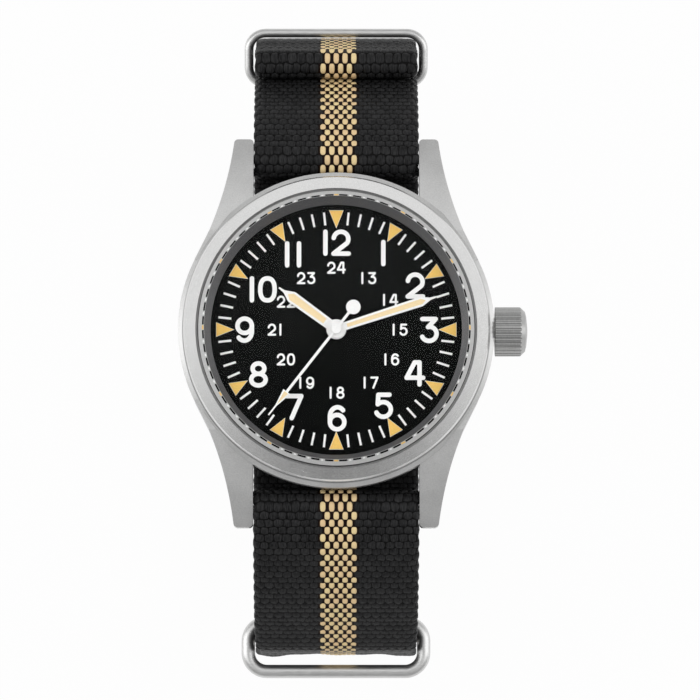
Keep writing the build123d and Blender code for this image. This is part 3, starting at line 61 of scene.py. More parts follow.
# Meshes
def makePiece(name, points, faceGroups, material, uv=None, smooth=True, marks=None):
    # Points in millimetres; each face group is an array of corner indices; uv has one pair for each face corner and
    # marks one number for each point, which the material reads as its "melt" attribute.
    mesh = bpy.data.meshes.new(name)
    points = np.asarray(points, dtype=np.float32).reshape(-1, 3) * mm
    corners = np.concatenate([group.ravel() for group in faceGroups]).astype(np.int32)
    sizes = np.concatenate([np.full(len(group), group.shape[1]) for group in faceGroups])
    starts = (np.cumsum(sizes) - sizes).astype(np.int32)
    mesh.vertices.add(len(points))
    mesh.vertices.foreach_set("co", points.ravel())
    mesh.loops.add(len(corners))
    mesh.loops.foreach_set("vertex_index", corners)
    mesh.polygons.add(len(starts))
    mesh.polygons.foreach_set("loop_start", starts)
    mesh.update(calc_edges=True)
    if uv is not None:
        layer = mesh.uv_layers.new(name="weave")
        layer.data.foreach_set("uv", np.asarray(uv, dtype=np.float32).ravel())
    if marks is not None:
        layer = mesh.attributes.new("melt", "FLOAT", "POINT")
        layer.data.foreach_set("value", np.asarray(marks, dtype=np.float32).ravel())
    mesh.polygons.foreach_set("use_smooth", np.full(len(starts), smooth))
    mesh.materials.append(material)
    mesh.validate()
    piece = bpy.data.objects.new(name, mesh)
    bpy.context.scene.collection.objects.link(piece)
    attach(piece, "root")
    return piece


def gridQuads(rows, columns, closed=False):
    # Quads between neighbouring rows and columns; a closed grid joins its last column to its first.
    i, j = np.meshgrid(np.arange(rows - 1), np.arange(columns if closed else columns - 1), indexing="ij")
    k = (j + 1) % columns
    return np.stack([i * columns + j, (i + 1) * columns + j, (i + 1) * columns + k, i * columns + k], -1).reshape(-1, 4)


# Material helpers
def newFinish(name, colour, metallic=0.0, roughness=0.5):
    # A new material with its node tree and its shader.
    material = bpy.data.materials.new(name)
    material.use_nodes = True
    shader = material.node_tree.nodes["Principled BSDF"]
    shader.inputs["Base Color"].default_value = (*colour, 1)
    shader.inputs["Metallic"].default_value = metallic
    shader.inputs["Roughness"].default_value = roughness
    return material, material.node_tree, shader


def addNode(tree, kind, inputs=(), **settings):
    # One node; each input is a number, a colour or another node's socket, by place or by name.
    node = tree.nodes.new(kind)
    for key, value in settings.items():
        setattr(node, key, value)
    for key, value in (inputs.items() if isinstance(inputs, dict) else enumerate(inputs)):
        if value is None:
            continue
        if isinstance(value, bpy.types.NodeSocket):
            tree.links.new(value, node.inputs[key])
        else:
            node.inputs[key].default_value = value
    return node


def calc(tree, operation, *values):
    # One step of arithmetic, done in the material.
    return addNode(tree, "ShaderNodeMath", values, operation=operation).outputs[0]


def blendColour(tree, factor, first, second):
    # From the first colour to the second as the factor goes from 0 to 1.
    node = addNode(tree, "ShaderNodeMix", data_type="RGBA")
    for key, value in ((0, factor), (6, first), (7, second)):
        if isinstance(value, bpy.types.NodeSocket):
            tree.links.new(value, node.inputs[key])
        else:
            node.inputs[key].default_value = value if key == 0 else (*value, 1)
    return node.outputs[2]


def blendNumber(tree, factor, first, second):
    # From the first number to the second as the factor goes from 0 to 1.
    return addNode(tree, "ShaderNodeMix", [factor, None, first, second], data_type="FLOAT").outputs[0]


def inMillimetres(tree, stretch=(1, 1, 1)):
    # The place on the piece in millimetres; a stretch below 1 draws a pattern out along that axis.
    coordinates = addNode(tree, "ShaderNodeTexCoord")
    mapping = addNode(tree, "ShaderNodeMapping", {"Vector": coordinates.outputs["Object"]})
    mapping.inputs["Scale"].default_value = [s / mm for s in stretch]
    return mapping.outputs["Vector"]


def noise(tree, vector, scale, detail=2.0, roughness=0.5):
    # Smooth random tone, about scale changes to a millimetre.
    node = addNode(tree, "ShaderNodeTexNoise", {"Vector": vector, "Scale": scale, "Detail": detail,
                                                "Roughness": roughness})
    return node.outputs["Fac"]


def spread(tree, value, low, high, fromLow=0.3, fromHigh=0.7):
    # A value between fromLow and fromHigh carried evenly to the range from low to high.
    node = addNode(tree, "ShaderNodeMapRange", {"Value": value, "From Min": fromLow, "From Max": fromHigh,
                                                "To Min": low, "To Max": high})
    return node.outputs["Result"]


def addBump(tree, shader, height, strength, depth):
    # depth is the height of the relief in millimetres
    node = addNode(tree, "ShaderNodeBump", {"Strength": strength, "Distance": depth * mm, "Height": height})
    tree.links.new(node.outputs["Normal"], shader.inputs["Normal"])


def mottle(tree, shader, tone, colour, shares, rough):
    # One tone moves the colour between two shares of itself, and the roughness between its two ends.
    low = tuple(c * shares[0] for c in colour)
    high = tuple(min(1.0, c * shares[1]) for c in colour)
    mottled = blendColour(tree, spread(tree, tone, 0.0, 1.0), low, high)
    tree.links.new(mottled, shader.inputs["Base Color"])
    tree.links.new(spread(tree, tone, *rough), shader.inputs["Roughness"])
    return mottled


def radiusOf(tree, vector):
    # Distance from the case's axis, the root of x squared plus y squared, and the separate coordinates.
    parts = addNode(tree, "ShaderNodeSeparateXYZ", [vector])
    flat = addNode(tree, "ShaderNodeCombineXYZ", [parts.outputs[0], parts.outputs[1], 0.0])
    return addNode(tree, "ShaderNodeVectorMath", [flat.outputs[0]], operation="LENGTH").outputs["Value"], parts


# Steel, brass and the other metals
steelLook = {"blasted": (0.66, 0.66, 0.655), "satin": (0.62, 0.62, 0.61), "polished": (0.70, 0.70, 0.69),
             "bezel": (0.72, 0.72, 0.715), "crown": (0.44, 0.44, 0.435)}
blasting = {"pitScale": 7.0, "patchScale": 0.35, "pitShare": 0.7, "shares": (0.86, 1.14), "rough": (0.36, 0.50),
            "bump": 0.35, "depth": 0.02}
brushing = {"lineScale": 6.0, "shares": (0.9, 1.1), "bump": 0.25, "depth": 0.008}
turning = {"ringScale": 9.0, "scuffScale": 0.6, "scuffShare": 0.25, "grainScale": 7.0, "shares": (0.90, 1.08),
           "bump": 0.2, "depth": 0.008}
# the fine line on the case where the bezel's rim ends, painted shade of the gap between bezel and case; dark is the
# share of its colour that it loses
bezelGapShade = {"radius": 18.38, "wide": 0.15, "above": headLift + 6.3, "dark": 0.62, "colour": (0.05, 0.05, 0.05)}


def blastedSteel():
    # Bead-blasted steel: fine pits a tenth of a millimetre wide, with slow patches of brighter and duller skin.
    material, tree, shader = newFinish("blastedSteel", steelLook["blasted"], 1.0)
    place = inMillimetres(tree)
    pits = noise(tree, place, blasting["pitScale"], 3.0, 0.65)
    patches = noise(tree, place, blasting["patchScale"], 2.0)
    tone = calc(tree, "ADD", calc(tree, "MULTIPLY", pits, blasting["pitShare"]),
                calc(tree, "MULTIPLY", patches, 1 - blasting["pitShare"]))
    colour = mottle(tree, shader, tone, steelLook["blasted"], blasting["shares"], blasting["rough"])
    # dark, the painted shade of the gap, falls evenly to nothing over the line's width on both sides of its radius
    radius, parts = radiusOf(tree, place)
    off = calc(tree, "ABSOLUTE", calc(tree, "SUBTRACT", radius, bezelGapShade["radius"]))
    gapShadeMask = spread(tree, off, 1.0, 0.0, 0.0, bezelGapShade["wide"])
    onTop = calc(tree, "GREATER_THAN", parts.outputs[2], bezelGapShade["above"])
    dark = calc(tree, "MULTIPLY", calc(tree, "MULTIPLY", gapShadeMask, onTop), bezelGapShade["dark"])
    tree.links.new(blendColour(tree, dark, colour, bezelGapShade["colour"]), shader.inputs["Base Color"])
    addBump(tree, shader, pits, blasting["bump"], blasting["depth"])
    return material


def satinSteel(name, stretch, colour=steelLook["satin"], rough=(0.22, 0.36)):
    # Drawn or brushed steel: noise pulled out along the polishing direction.
    material, tree, shader = newFinish(name, colour, 1.0)
    lines = noise(tree, inMillimetres(tree, stretch), brushing["lineScale"], 3.0, 0.6)
    mottle(tree, shader, lines, colour, brushing["shares"], rough)
    addBump(tree, shader, lines, brushing["bump"], brushing["depth"])
    return material


def turnedSteel(name, colour=steelLook["satin"], rough=(0.22, 0.38), stretched=0.0, lines=0.75):
    # Steel finished on a lathe about the case's axis: fine circles, scuffs and grain in their shares. Where it is
    # stretched, the shine is drawn out across the circles.
    material, tree, shader = newFinish(name, colour, 1.0)
    if stretched:
        shader.inputs["Anisotropic"].default_value = stretched
        shader.inputs["Anisotropic Rotation"].default_value = 0.25
        tangent = addNode(tree, "ShaderNodeTangent", direction_type="RADIAL", axis="Z")
        tree.links.new(tangent.outputs[0], shader.inputs["Tangent"])
    place = inMillimetres(tree)
    radius, parts = radiusOf(tree, place)
    rings = addNode(tree, "ShaderNodeCombineXYZ", [calc(tree, "MULTIPLY", radius, turning["ringScale"]), 0.0,
                                                   parts.outputs[2]])
    circles = noise(tree, rings.outputs[0], 1.0, 3.0, 0.6)
    scuffs = noise(tree, place, turning["scuffScale"], 4.0, 0.7)
    grain = noise(tree, place, turning["grainScale"], 3.0, 0.65)
    tone = calc(tree, "ADD", calc(tree, "MULTIPLY", circles, lines),
                calc(tree, "MULTIPLY", scuffs, turning["scuffShare"]))
    tone = calc(tree, "ADD", tone, calc(tree, "MULTIPLY", grain, 1 - turning["scuffShare"] - lines))
    mottle(tree, shader, tone, colour, turning["shares"], rough)
    addBump(tree, shader, tone, turning["bump"], turning["depth"])
    return material


def plainFinish(name, colour, metallic, rough, grainScale, change=0.12, depth=0.01, shine=0.5):
    # Paint, plastic, rubber or plating: a slight mottle in colour and roughness and a fine skin.
    material, tree, shader = newFinish(name, colour, metallic)
    shader.inputs["Specular IOR Level"].default_value = shine
    grain = noise(tree, inMillimetres(tree), grainScale, 3.0, 0.6)
    mottle(tree, shader, grain, colour, (1 - change, 1 + change), rough)
    addBump(tree, shader, grain, 0.3, depth)
    return material


def clearCrystal():
    # Coated mineral glass: clear, smooth, and with little reflection, which the low refraction stands for.
    material, tree, shader = newFinish("clearCrystal", (1.0, 1.0, 1.0), 0.0, 0.0)
    shader.inputs["Transmission Weight"].default_value = 1.0
    shader.inputs["IOR"].default_value = 1.12
    haze = noise(tree, inMillimetres(tree), 0.8, 2.0)
    tree.links.new(spread(tree, haze, 0.0, 0.012), shader.inputs["Roughness"])
    return material


finishes = {
    "blasted_steel": blastedSteel(),
    "satin_steel": satinSteel("drawnSteel", (0.15, 1, 1)),
    "polished_steel": satinSteel("pinSteel", (0.2, 1, 1), steelLook["polished"], (0.12, 0.24)),
    "crystal": clearCrystal(),
    "seal_rubber": plainFinish("sealRubber", (0.02, 0.02, 0.02), 0.0, (0.5, 0.7), 4.0),
    "crystal_seal": plainFinish("crystalSeal", (0.30, 0.30, 0.30), 0.0, (0.4, 0.6), 4.0),
    "dial_paint": plainFinish("dialBlack", (0.0024, 0.0029, 0.0027), 0.0, (0.55, 0.75), 9.0, 0.15, 0.004, 0.03),
    "chapter_grey": plainFinish("chapterGrey", (0.135, 0.135, 0.137), 0.5, (0.36, 0.5), 6.0),
    "lume": plainFinish("paleLume", (0.87, 0.69, 0.40), 0.0, (0.6, 0.8), 7.0, 0.06, 0.01),
    "gold_lume": plainFinish("goldLume", (0.93, 0.60, 0.145), 0.0, (0.6, 0.8), 7.0, 0.08, 0.01),
    "hand_white": plainFinish("handWhite", (0.89, 0.89, 0.88), 0.0, (0.3, 0.45), 6.0, 0.04, 0.003),
    "brass_part": plainFinish("brass", (0.74, 0.53, 0.26), 1.0, (0.2, 0.35), 5.0),
    "nickel_plate": plainFinish("nickelPlate", (0.62, 0.60, 0.56), 1.0, (0.25, 0.4), 5.0),
    "holder_plastic": plainFinish("holderPlastic", (0.62, 0.62, 0.58), 0.0, (0.4, 0.6), 4.0),
    "board": plainFinish("circuitGreen", (0.03, 0.14, 0.07), 0.0, (0.3, 0.5), 3.0, 0.3),
    "copper_wire": plainFinish("windingCopper", (0.70, 0.32, 0.14), 1.0, (0.25, 0.45), 12.0, 0.25, 0.03),
    "soft_iron": plainFinish("softIron", (0.42, 0.42, 0.43), 1.0, (0.3, 0.5), 5.0),
}
bezelSteel = turnedSteel("bezelSteel", steelLook["bezel"], (0.20, 0.28), 0.3, 0.12)
ringSteel = satinSteel("ringSteel", (0.12, 1, 1), steelLook["blasted"], (0.36, 0.44))
caseBackSteel = turnedSteel("caseBackSteel")
crownSteel = satinSteel("crownSteel", (1, 0.3, 0.3), steelLook["crown"], (0.3, 0.42))
printWhite = plainFinish("printWhite", (0.92, 0.92, 0.91), 0.0, (0.5, 0.65), 10.0, 0.03, 0.003)
threadBlack = plainFinish("threadBlack", (0.014, 0.014, 0.015), 0.0, (0.5, 0.7), 14.0, 0.3, 0.02)
print("finishes made")


# Woven straps
weave = {
    "width": 19.9, "halfThick": 0.61, "columns": 37, "samples": 3, "period": 1.8, "rowStep": 0.38,
    "relief": 0.16, "sink": 0.4, "plainHigh": 0.9, "goldHigh": 1.3, "plainWide": 0.97, "goldWide": 0.64,
    "plainTall": 1.0, "goldTall": 1.04, "stripeFrom": 15, "stripeTo": 23, "uneven": 0.22,
    "edgePower": 24, "scallop": 0.07, "meltReach": 0.4, "uvLength": 400.0, "uvSide": 0.45,
    "pressReach": 3.4, "pressFlat": 0.85, "pressThin": 0.10, "pressNarrow": 0.018,
}
# the gap colours are painted shade, the colours of the crevices between the beads
yarn = {
    "gold": ((0.97, 0.80, 0.42), (0.88, 0.62, 0.36)), "goldCreviceShade": (0.010, 0.003, 0.002),
    "black": ((0.004, 0.004, 0.0045), (0.036, 0.036, 0.037)), "blackCreviceShade": (0.0015, 0.0014, 0.0014),
    "melted": (0.010, 0.010, 0.011), "shine": 0.12, "rough": (0.36, 0.60), "meltedRough": 0.28,
    "bodyFrom": 0.10, "bodyTo": 0.55, "fibresAcross": 5.0, "fibresAlong": 2.6, "depth": 0.13,
    "pushScale": 1.7, "goldTone": 0.6, "goldFibres": 0.5, "blackTone": 0.3, "blackFibres": 0.8, "fibreHigh": 0.3,
}


def weaveRelief(x, s):
    # Height of the weave in units of its relief, at x across and s along: beads of warp yarn laid as bricks, two
    # columns to a brick, each row half a brick on. With a and b the place in the brick from -1 to 1, a bead's
    # height is the root of 1 - |a / wide|^3 - |b / tall|^3.
    column = (x / weave["width"] + 0.5) * weave["columns"]
    rowAt = 2 * s / weave["period"]
    odd = np.mod(np.floor(rowAt), 2)
    brick = column / 2 + 0.25 + 0.5 * odd
    centre = 2 * np.floor(brick) + 0.5 - odd
    stripe = (centre > weave["stripeFrom"]) & (centre < weave["stripeTo"])
    a = 2 * np.mod(brick, 1.0) - 1
    b = 2 * np.mod(rowAt, 1.0) - 1
    wide = np.where(stripe, weave["goldWide"], weave["plainWide"])
    tall = np.where(stripe, weave["goldTall"], weave["plainTall"])
    bead = np.sqrt(np.clip(1 - np.abs(a / wide) ** 3 - np.abs(b / tall) ** 3, 0, 1))
    return np.where(stripe, weave["goldHigh"], weave["plainHigh"]) * bead - weave["sink"]


def wovenNylon():
    # The same weave as the mesh, drawn from its uv: black warp yarn with a stripe of gold floats in eight columns, and
    # painted shade in the crevices between the beads.
    material, tree, shader = newFinish("wovenNylon", yarn["black"][0])
    shader.inputs["Specular IOR Level"].default_value = yarn["shine"]
    uv = addNode(tree, "ShaderNodeUVMap", uv_map="weave")
    parts = addNode(tree, "ShaderNodeSeparateXYZ", [uv.outputs[0]])
    # u runs across the outer face from 0 and back over the wrist face from a half
    back = calc(tree, "GREATER_THAN", parts.outputs[0], (0.5 + weave["uvSide"]) / 2)
    run = calc(tree, "FRACT", calc(tree, "MULTIPLY", parts.outputs[0], 2.0))
    run = calc(tree, "MINIMUM", calc(tree, "DIVIDE", run, 2 * weave["uvSide"]), 1.0)
    share = blendNumber(tree, back, run, calc(tree, "SUBTRACT", 1.0, run))
    column = calc(tree, "MULTIPLY", share, float(weave["columns"]))
    length = calc(tree, "MULTIPLY", parts.outputs[1], weave["uvLength"] / weave["period"])
    # beads of the plain ground are pushed about a little; the stripe's are not
    stripeMiddle = 0.5 * (weave["stripeFrom"] + weave["stripeTo"])
    fromMiddle = calc(tree, "ABSOLUTE", calc(tree, "SUBTRACT", column, stripeMiddle))
    plainGround = calc(tree, "GREATER_THAN", fromMiddle, 0.5 * (weave["stripeTo"] - weave["stripeFrom"]) + 1.0)
    drift = addNode(tree, "ShaderNodeCombineXYZ", [calc(tree, "MULTIPLY", column, 0.5), length, back]).outputs[0]
    push = addNode(tree, "ShaderNodeTexNoise", {"Vector": drift, "Scale": yarn["pushScale"], "Detail": 1.0})
    push = addNode(tree, "ShaderNodeSeparateXYZ", [push.outputs["Color"]])
    amount = calc(tree, "MULTIPLY", plainGround, 2 * weave["uneven"])
    pushAcross, pushAlong = (calc(tree, "MULTIPLY", calc(tree, "SUBTRACT", push.outputs[k], 0.5), amount)
                             for k in (0, 1))
    rowAt = calc(tree, "ADD", calc(tree, "MULTIPLY", length, 2.0), pushAlong)
    row = calc(tree, "FLOOR", rowAt)
    odd = calc(tree, "FLOORED_MODULO", row, 2.0)
    brick = calc(tree, "ADD", calc(tree, "MULTIPLY", column, 0.5), calc(tree, "MULTIPLY", odd, 0.5))
    brick = calc(tree, "ADD", calc(tree, "ADD", brick, 0.25), pushAcross)
    centre = calc(tree, "ADD", calc(tree, "MULTIPLY", calc(tree, "FLOOR", brick), 2.0),
                  calc(tree, "SUBTRACT", 0.5, odd))
    stripe = calc(tree, "MULTIPLY", calc(tree, "GREATER_THAN", centre, float(weave["stripeFrom"])),
                  calc(tree, "LESS_THAN", centre, float(weave["stripeTo"])))
    terms = []
    for place, gold, plain in ((brick, "goldWide", "plainWide"), (rowAt, "goldTall", "plainTall")):
        reach = blendNumber(tree, stripe, weave[plain], weave[gold])
        inBrick = calc(tree, "SUBTRACT", calc(tree, "MULTIPLY", calc(tree, "FRACT", place), 2.0), 1.0)
        inBrick = calc(tree, "DIVIDE", calc(tree, "ABSOLUTE", inBrick), reach)
        terms.append(calc(tree, "POWER", inBrick, 3.0))
    left = calc(tree, "SUBTRACT", calc(tree, "SUBTRACT", 1.0, terms[0]), terms[1])
    bead = calc(tree, "SQRT", calc(tree, "MAXIMUM", left, 0.0))
    body = spread(tree, bead, 0.0, 1.0, yarn["bodyFrom"], yarn["bodyTo"])
    # one tone for each bead, and fibres that run along it
    cell = addNode(tree, "ShaderNodeCombineXYZ", [calc(tree, "FLOOR", brick), row, back]).outputs[0]
    tone = addNode(tree, "ShaderNodeTexWhiteNoise", {"Vector": cell}, noise_dimensions="3D").outputs["Value"]
    fibrePlace = addNode(tree, "ShaderNodeCombineXYZ", [calc(tree, "MULTIPLY", column, yarn["fibresAcross"]),
                                                       calc(tree, "MULTIPLY", length, yarn["fibresAlong"]), back])
    fibres = noise(tree, fibrePlace.outputs[0], 1.0, 3.0, 0.6)
    goldTone = calc(tree, "ADD", calc(tree, "MULTIPLY", tone, yarn["goldTone"]),
                    calc(tree, "MULTIPLY", fibres, yarn["goldFibres"]))
    # the colour falls to the gap colour where the bead is low: painted shade in the crevices between the beads
    gold = blendColour(tree, calc(tree, "MULTIPLY", stripe, body), yarn["goldCreviceShade"],
                       blendColour(tree, goldTone, *yarn["gold"]))
    blackTone = calc(tree, "ADD", calc(tree, "MULTIPLY", tone, yarn["blackTone"]),
                     spread(tree, fibres, 0.0, yarn["blackFibres"], 0.38, 0.66))
    black = blendColour(tree, body, yarn["blackCreviceShade"], blendColour(tree, blackTone, *yarn["black"]))
    # yarn that heat has sealed, at cut ends and hole rims, is smooth and has no beads
    melt = addNode(tree, "ShaderNodeAttribute", attribute_name="melt").outputs["Fac"]
    colour = blendColour(tree, melt, blendColour(tree, stripe, black, gold), yarn["melted"])
    tree.links.new(colour, shader.inputs["Base Color"])
    rough = blendNumber(tree, melt, spread(tree, fibres, *yarn["rough"]), yarn["meltedRough"])
    tree.links.new(rough, shader.inputs["Roughness"])
    height = calc(tree, "ADD", bead, calc(tree, "MULTIPLY", fibres, yarn["fibreHigh"]))
    height = calc(tree, "MULTIPLY", height, calc(tree, "SUBTRACT", 1.0, melt))
    addBump(tree, shader, height, 1.0, yarn["depth"])
    return material


finishes["nylon"] = wovenNylon()


def roundedPath(corners, step=0.08):
    # A route of (y, z, radius) corners: each corner is cut back by radius x tan(half its turn) and gets an arc there.
    corners = np.asarray(corners, dtype=float)
    pieces = [corners[:1, :2]]
    for k in range(1, len(corners) - 1):
        before, here, after, r = corners[k - 1, :2], corners[k, :2], corners[k + 1, :2], corners[k, 2]
        a = (here - before) / np.hypot(*(here - before))
        b = (after - here) / np.hypot(*(after - here))
        turn = math.atan2(a[0] * b[1] - a[1] * b[0], a @ b)
        if abs(turn) < 1e-4 or r <= 0:
            pieces.append(here[None])
            continue
        start = here - a * r * math.tan(abs(turn) / 2)
        side = np.array([-a[1], a[0]]) * math.copysign(1, turn)
        centre = start + side * r
        angles = np.linspace(0, turn, max(4, int(abs(turn) * r / step)))[:, None]
        arm = start - centre
        pieces.append(centre + np.hstack([arm[0] * np.cos(angles) - arm[1] * np.sin(angles),
                                          arm[0] * np.sin(angles) + arm[1] * np.cos(angles)]))
    pieces.append(corners[-1:, :2])
    line = np.concatenate(pieces)
    # short even steps along the whole line, so that directions change smoothly
    s = np.concatenate([[0], np.cumsum(np.hypot(*np.diff(line, axis=0).T))])
    keep = np.concatenate([[True], np.diff(s) > 1e-7])
    s, line = s[keep], line[keep]
    even = np.linspace(0, s[-1], int(s[-1] / step))
    line = np.stack([np.interp(even, s, line[:, 0]), np.interp(even, s, line[:, 1])], -1)
    way = np.gradient(line, even, axis=0)
    way /= np.hypot(way[:, 0], way[:, 1])[:, None]
    return {"s": even, "line": line, "way": way, "length": s[-1]}


def placeAlong(path, s, x, lift):
    # The line's point at length s, moved across by x, and raised by lift at right angles to the line, away from the
    # wrist where lift is above zero.
    y = np.interp(s, path["s"], path["line"][:, 0])
    z = np.interp(s, path["s"], path["line"][:, 1])
    wy = np.interp(s, path["s"], path["way"][:, 0])
    wz = np.interp(s, path["s"], path["way"][:, 1])
    size = np.hypot(wy, wz)
    return np.stack([x, y + lift * wz / size, z - lift * wy / size], -1)


def lengthNear(path, y, z):
    # Length along the path at its point nearest to (y, z).
    return path["s"][np.argmin(np.hypot(path["line"][:, 0] - y, path["line"][:, 1] - z))]


# rims of the punched holes and the sealed ends, in millimetres; block is the share of a hole's size that the grid
# leaves out before its edge is drawn out to the rim
holeRim = {"block": 0.72, "reach": 1.2, "near": 1.5, "calm": 0.5, "rise": 0.05, "riseAt": 0.12, "riseWide": 0.16}
cutEnd = {"melt": 0.5, "calm": 0.8, "tip": 7.0}


def strapPiece(name, path, sFrom, sTo, holes, replacedNode, ends=(False, False), tipShape=0.0):
    # A closed skin round the strap: a grid of rows along it and columns across its outer face and back over its
    # wrist face. A point's lift is half the thickness, less at the edges by the root of 1 - |x / half|^24, plus the
    # relief times the weave's height. Each hole is a block of the grid taken out, and the grid near it is drawn onto
    # the outline |x / wide|^p + |s / long|^p = 1.
    width, count = weave["width"], weave["columns"] * weave["samples"] + 1
    half = width / 2
    rows = int((sTo - sFrom) / weave["rowStep"])
    x = np.linspace(-half, half, count)
    s = np.linspace(sFrom, sTo, rows)
    along, across = np.meshgrid(s, x, indexing="ij")
    melt = np.zeros_like(along)
    calm = np.ones_like(along)
    rim = np.zeros_like(along)
    gaps = []
    for hole in holes:
        if not sFrom + 3 < hole["s"] < sTo - 3:
            continue
        block, reach = holeRim["block"], holeRim["reach"]
        i0, i1 = np.searchsorted(s, [hole["s"] - block * hole["long"], hole["s"] + block * hole["long"]])
        j0, j1 = np.searchsorted(x, [-block * hole["wide"], block * hole["wide"]])
        t = np.maximum.reduce([s[i0] - along, along - s[i1], x[j0] - across, across - x[j1],
                               np.zeros_like(along)]) / reach
        inside = t < 1
        dx, ds = across / hole["wide"], (along - hole["s"]) / hole["long"]
        power = hole["square"]
        radius = np.maximum((np.abs(dx) ** power + np.abs(ds) ** power) ** (1 / power), 1e-6)
        onRim = np.stack([hole["s"] + ds / radius * hole["long"], dx / radius * hole["wide"]])
        along = np.where(inside, onRim[0] * (1 - t) + along * t, along)
        across = np.where(inside, onRim[1] * (1 - t) + across * t, across)
        dx, ds = across / hole["wide"], (along - hole["s"]) / hole["long"]
        radius = (np.abs(dx) ** power + np.abs(ds) ** power) ** (1 / power)
        away = (radius - 1) * min(hole["wide"], hole["long"])
        near = inside & (away < holeRim["near"])
        melt = np.where(near, np.maximum(melt, np.clip(1.4 - away / weave["meltReach"], 0, 1)), melt)
        calm = np.where(near, np.minimum(calm, np.clip(away / holeRim["calm"], 0, 1)), calm)
        roll = holeRim["rise"] * np.exp(-((away - holeRim["riseAt"]) / holeRim["riseWide"]) ** 2)
        rim = np.where(near, np.maximum(rim, roll), rim)
        gaps.append((i0, i1, j0, j1))
    for atEnd, edge in zip(ends, (sFrom, sTo)):
        if atEnd:
            away = np.abs(along - edge)
            melt = np.maximum(melt, np.clip(1.5 - away / cutEnd["melt"], 0, 1))
            calm = np.minimum(calm, np.clip(away / cutEnd["calm"], 0, 1))
            if tipShape:
                back = tipShape * np.abs(across / half) ** 3 * np.clip(1 - away / cutEnd["tip"], 0, 1)
                along = along + np.sign(along - edge - 1e-9) * back
    body = weave["halfThick"] * np.sqrt(np.clip(1 - np.abs(across / (half * 1.002)) ** weave["edgePower"], 0.02, 1))
    scallop = weave["scallop"] / half * np.sin(2 * np.pi * along / weave["period"])
    side = across * (1 + scallop * np.abs(across / half) ** 9)
    relief = weave["relief"]
    # the wire rings press the cloth flatter where they swing
    if replacedNode == "main_strap":
        pressed = np.minimum(sum(np.exp(-((along - at) / weave["pressReach"]) ** 2) for at in pressedAt), 1)
        calm = calm * (1 - weave["pressFlat"] * pressed)
        body = body * (1 - weave["pressThin"] * pressed)
        side = side * (1 - weave["pressNarrow"] * pressed)
    # the free turns hang a little unevenly across the width
    sway = np.zeros_like(along)
    for at in wavyAt.get(replacedNode, ()):
        ripple = np.sin(2 * np.pi * across / wave["slow"] + 0.6)
        ripple += 0.6 * np.sin(2 * np.pi * across / wave["quick"] + 1.9)
        arch = wave["back"] + wave["arch"] * np.cos(np.pi * across / width)
        sway += np.exp(-((along - at) / wave["reach"]) ** 2) * (wave["depth"] * ripple - arch)
    outerLift = body + relief * weaveRelief(across, along) * calm + rim + sway
    innerLift = body + relief * weaveRelief(across, along + weave["period"] / 2) * calm + rim - sway
    outer = placeAlong(path, along, side, outerLift)
    inner = placeAlong(path, along, side, -innerLift)[:, ::-1]
    points = np.concatenate([outer, inner], axis=1)
    columns = 2 * count
    share = (across + half) / width
    u = np.concatenate([weave["uvSide"] * share, 0.5 + weave["uvSide"] * (1 - share[:, ::-1])], 1)
    v = np.concatenate([along, along[:, ::-1]], 1) / weave["uvLength"]
    v[:, count:] += 0.5 * weave["period"] / weave["uvLength"]
    quads = gridQuads(rows, columns, closed=True).reshape(rows - 1, columns, 4)
    cornerU = u.ravel()[quads]
    cornerU[:, -1, 2:] = 1.0
    cornerV = v.ravel()[quads]
    keep = np.ones((rows - 1, columns), bool)
    walls = []
    for i0, i1, j0, j1 in gaps:
        keep[i0:i1, j0:j1] = False
        keep[i0:i1, columns - 1 - j1:columns - 1 - j0] = False
        ri = np.concatenate([np.arange(i0, i1), np.full(j1 - j0, i1), np.arange(i1, i0, -1), np.full(j1 - j0, i0)])
        cj = np.concatenate([np.full(i1 - i0, j0), np.arange(j0, j1), np.full(i1 - i0, j1), np.arange(j1, j0, -1)])
        top = ri * columns + cj
        low = ri * columns + (columns - 1 - cj)
        walls.append(np.stack([top, np.roll(top, -1), np.roll(low, -1), low], -1))
    faces = [quads[keep]]
    uvs = [np.stack([cornerU[keep], cornerV[keep]], -1).reshape(-1, 2)]
    j = np.arange(count - 1)
    first = np.stack([j, j + 1, columns - 2 - j, columns - 1 - j], -1)
    last = (first + (rows - 1) * columns)[:, ::-1]
    for group in walls + [first, last]:
        faces.append(group)
        uvs.append(np.stack([u.ravel()[group], v.ravel()[group]], -1).reshape(-1, 2))
    melts = np.concatenate([melt, melt[:, ::-1]], 1)
    piece = makePiece(name, points, faces, finishes["nylon"], uv=np.concatenate(uvs), marks=melts)
    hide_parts(replacedNode)
    return piece


mainRoute = [
    (27.946, -34.728, 0), (25.412, -39.297, 10.45), (20.49, -41.408, 2), (16.964, -40.798, 2), (12.294, -42.8, 2.5),
    (2.25, -42.8, 1.73), (2.25, -46.3, 1.73), (13.013, -46.3, 6), (26.511, -40.512, 12), (34.006, -26.993, 21.679),
    (34.7, -11.019, 17.76), (30.987, -2.593, 26.283), (26.303, 3.302, 15.611), (19.5, 8.066, 1.7), (19.5, 2.25, 1.6),
    (-19.5, 2.25, 1.6), (-19.5, 7.228, 1.7), (-25.192, 5.156, 7.37), (-31.508, -1.157, 33.769), (-37.198, -10.279, 8),
    (-37.615, -25.002, 20.884), (-30.501, -38.012, 19.051), (-18.009, -43.892, 17.982), (-8.5, -44.15, 8),
    (3.0, -47.85, 5), (13.331, -47.85, 7.55), (27.609, -41.728, 13.55), (35.539, -27.425, 23.229),
    (36.264, -10.725, 19.31), (32.61, -2.433, 1.05), (34.715, -1.506, 1.05), (38.03, -10.393, 12.636),
    (37.476, -23.151, 0),
]
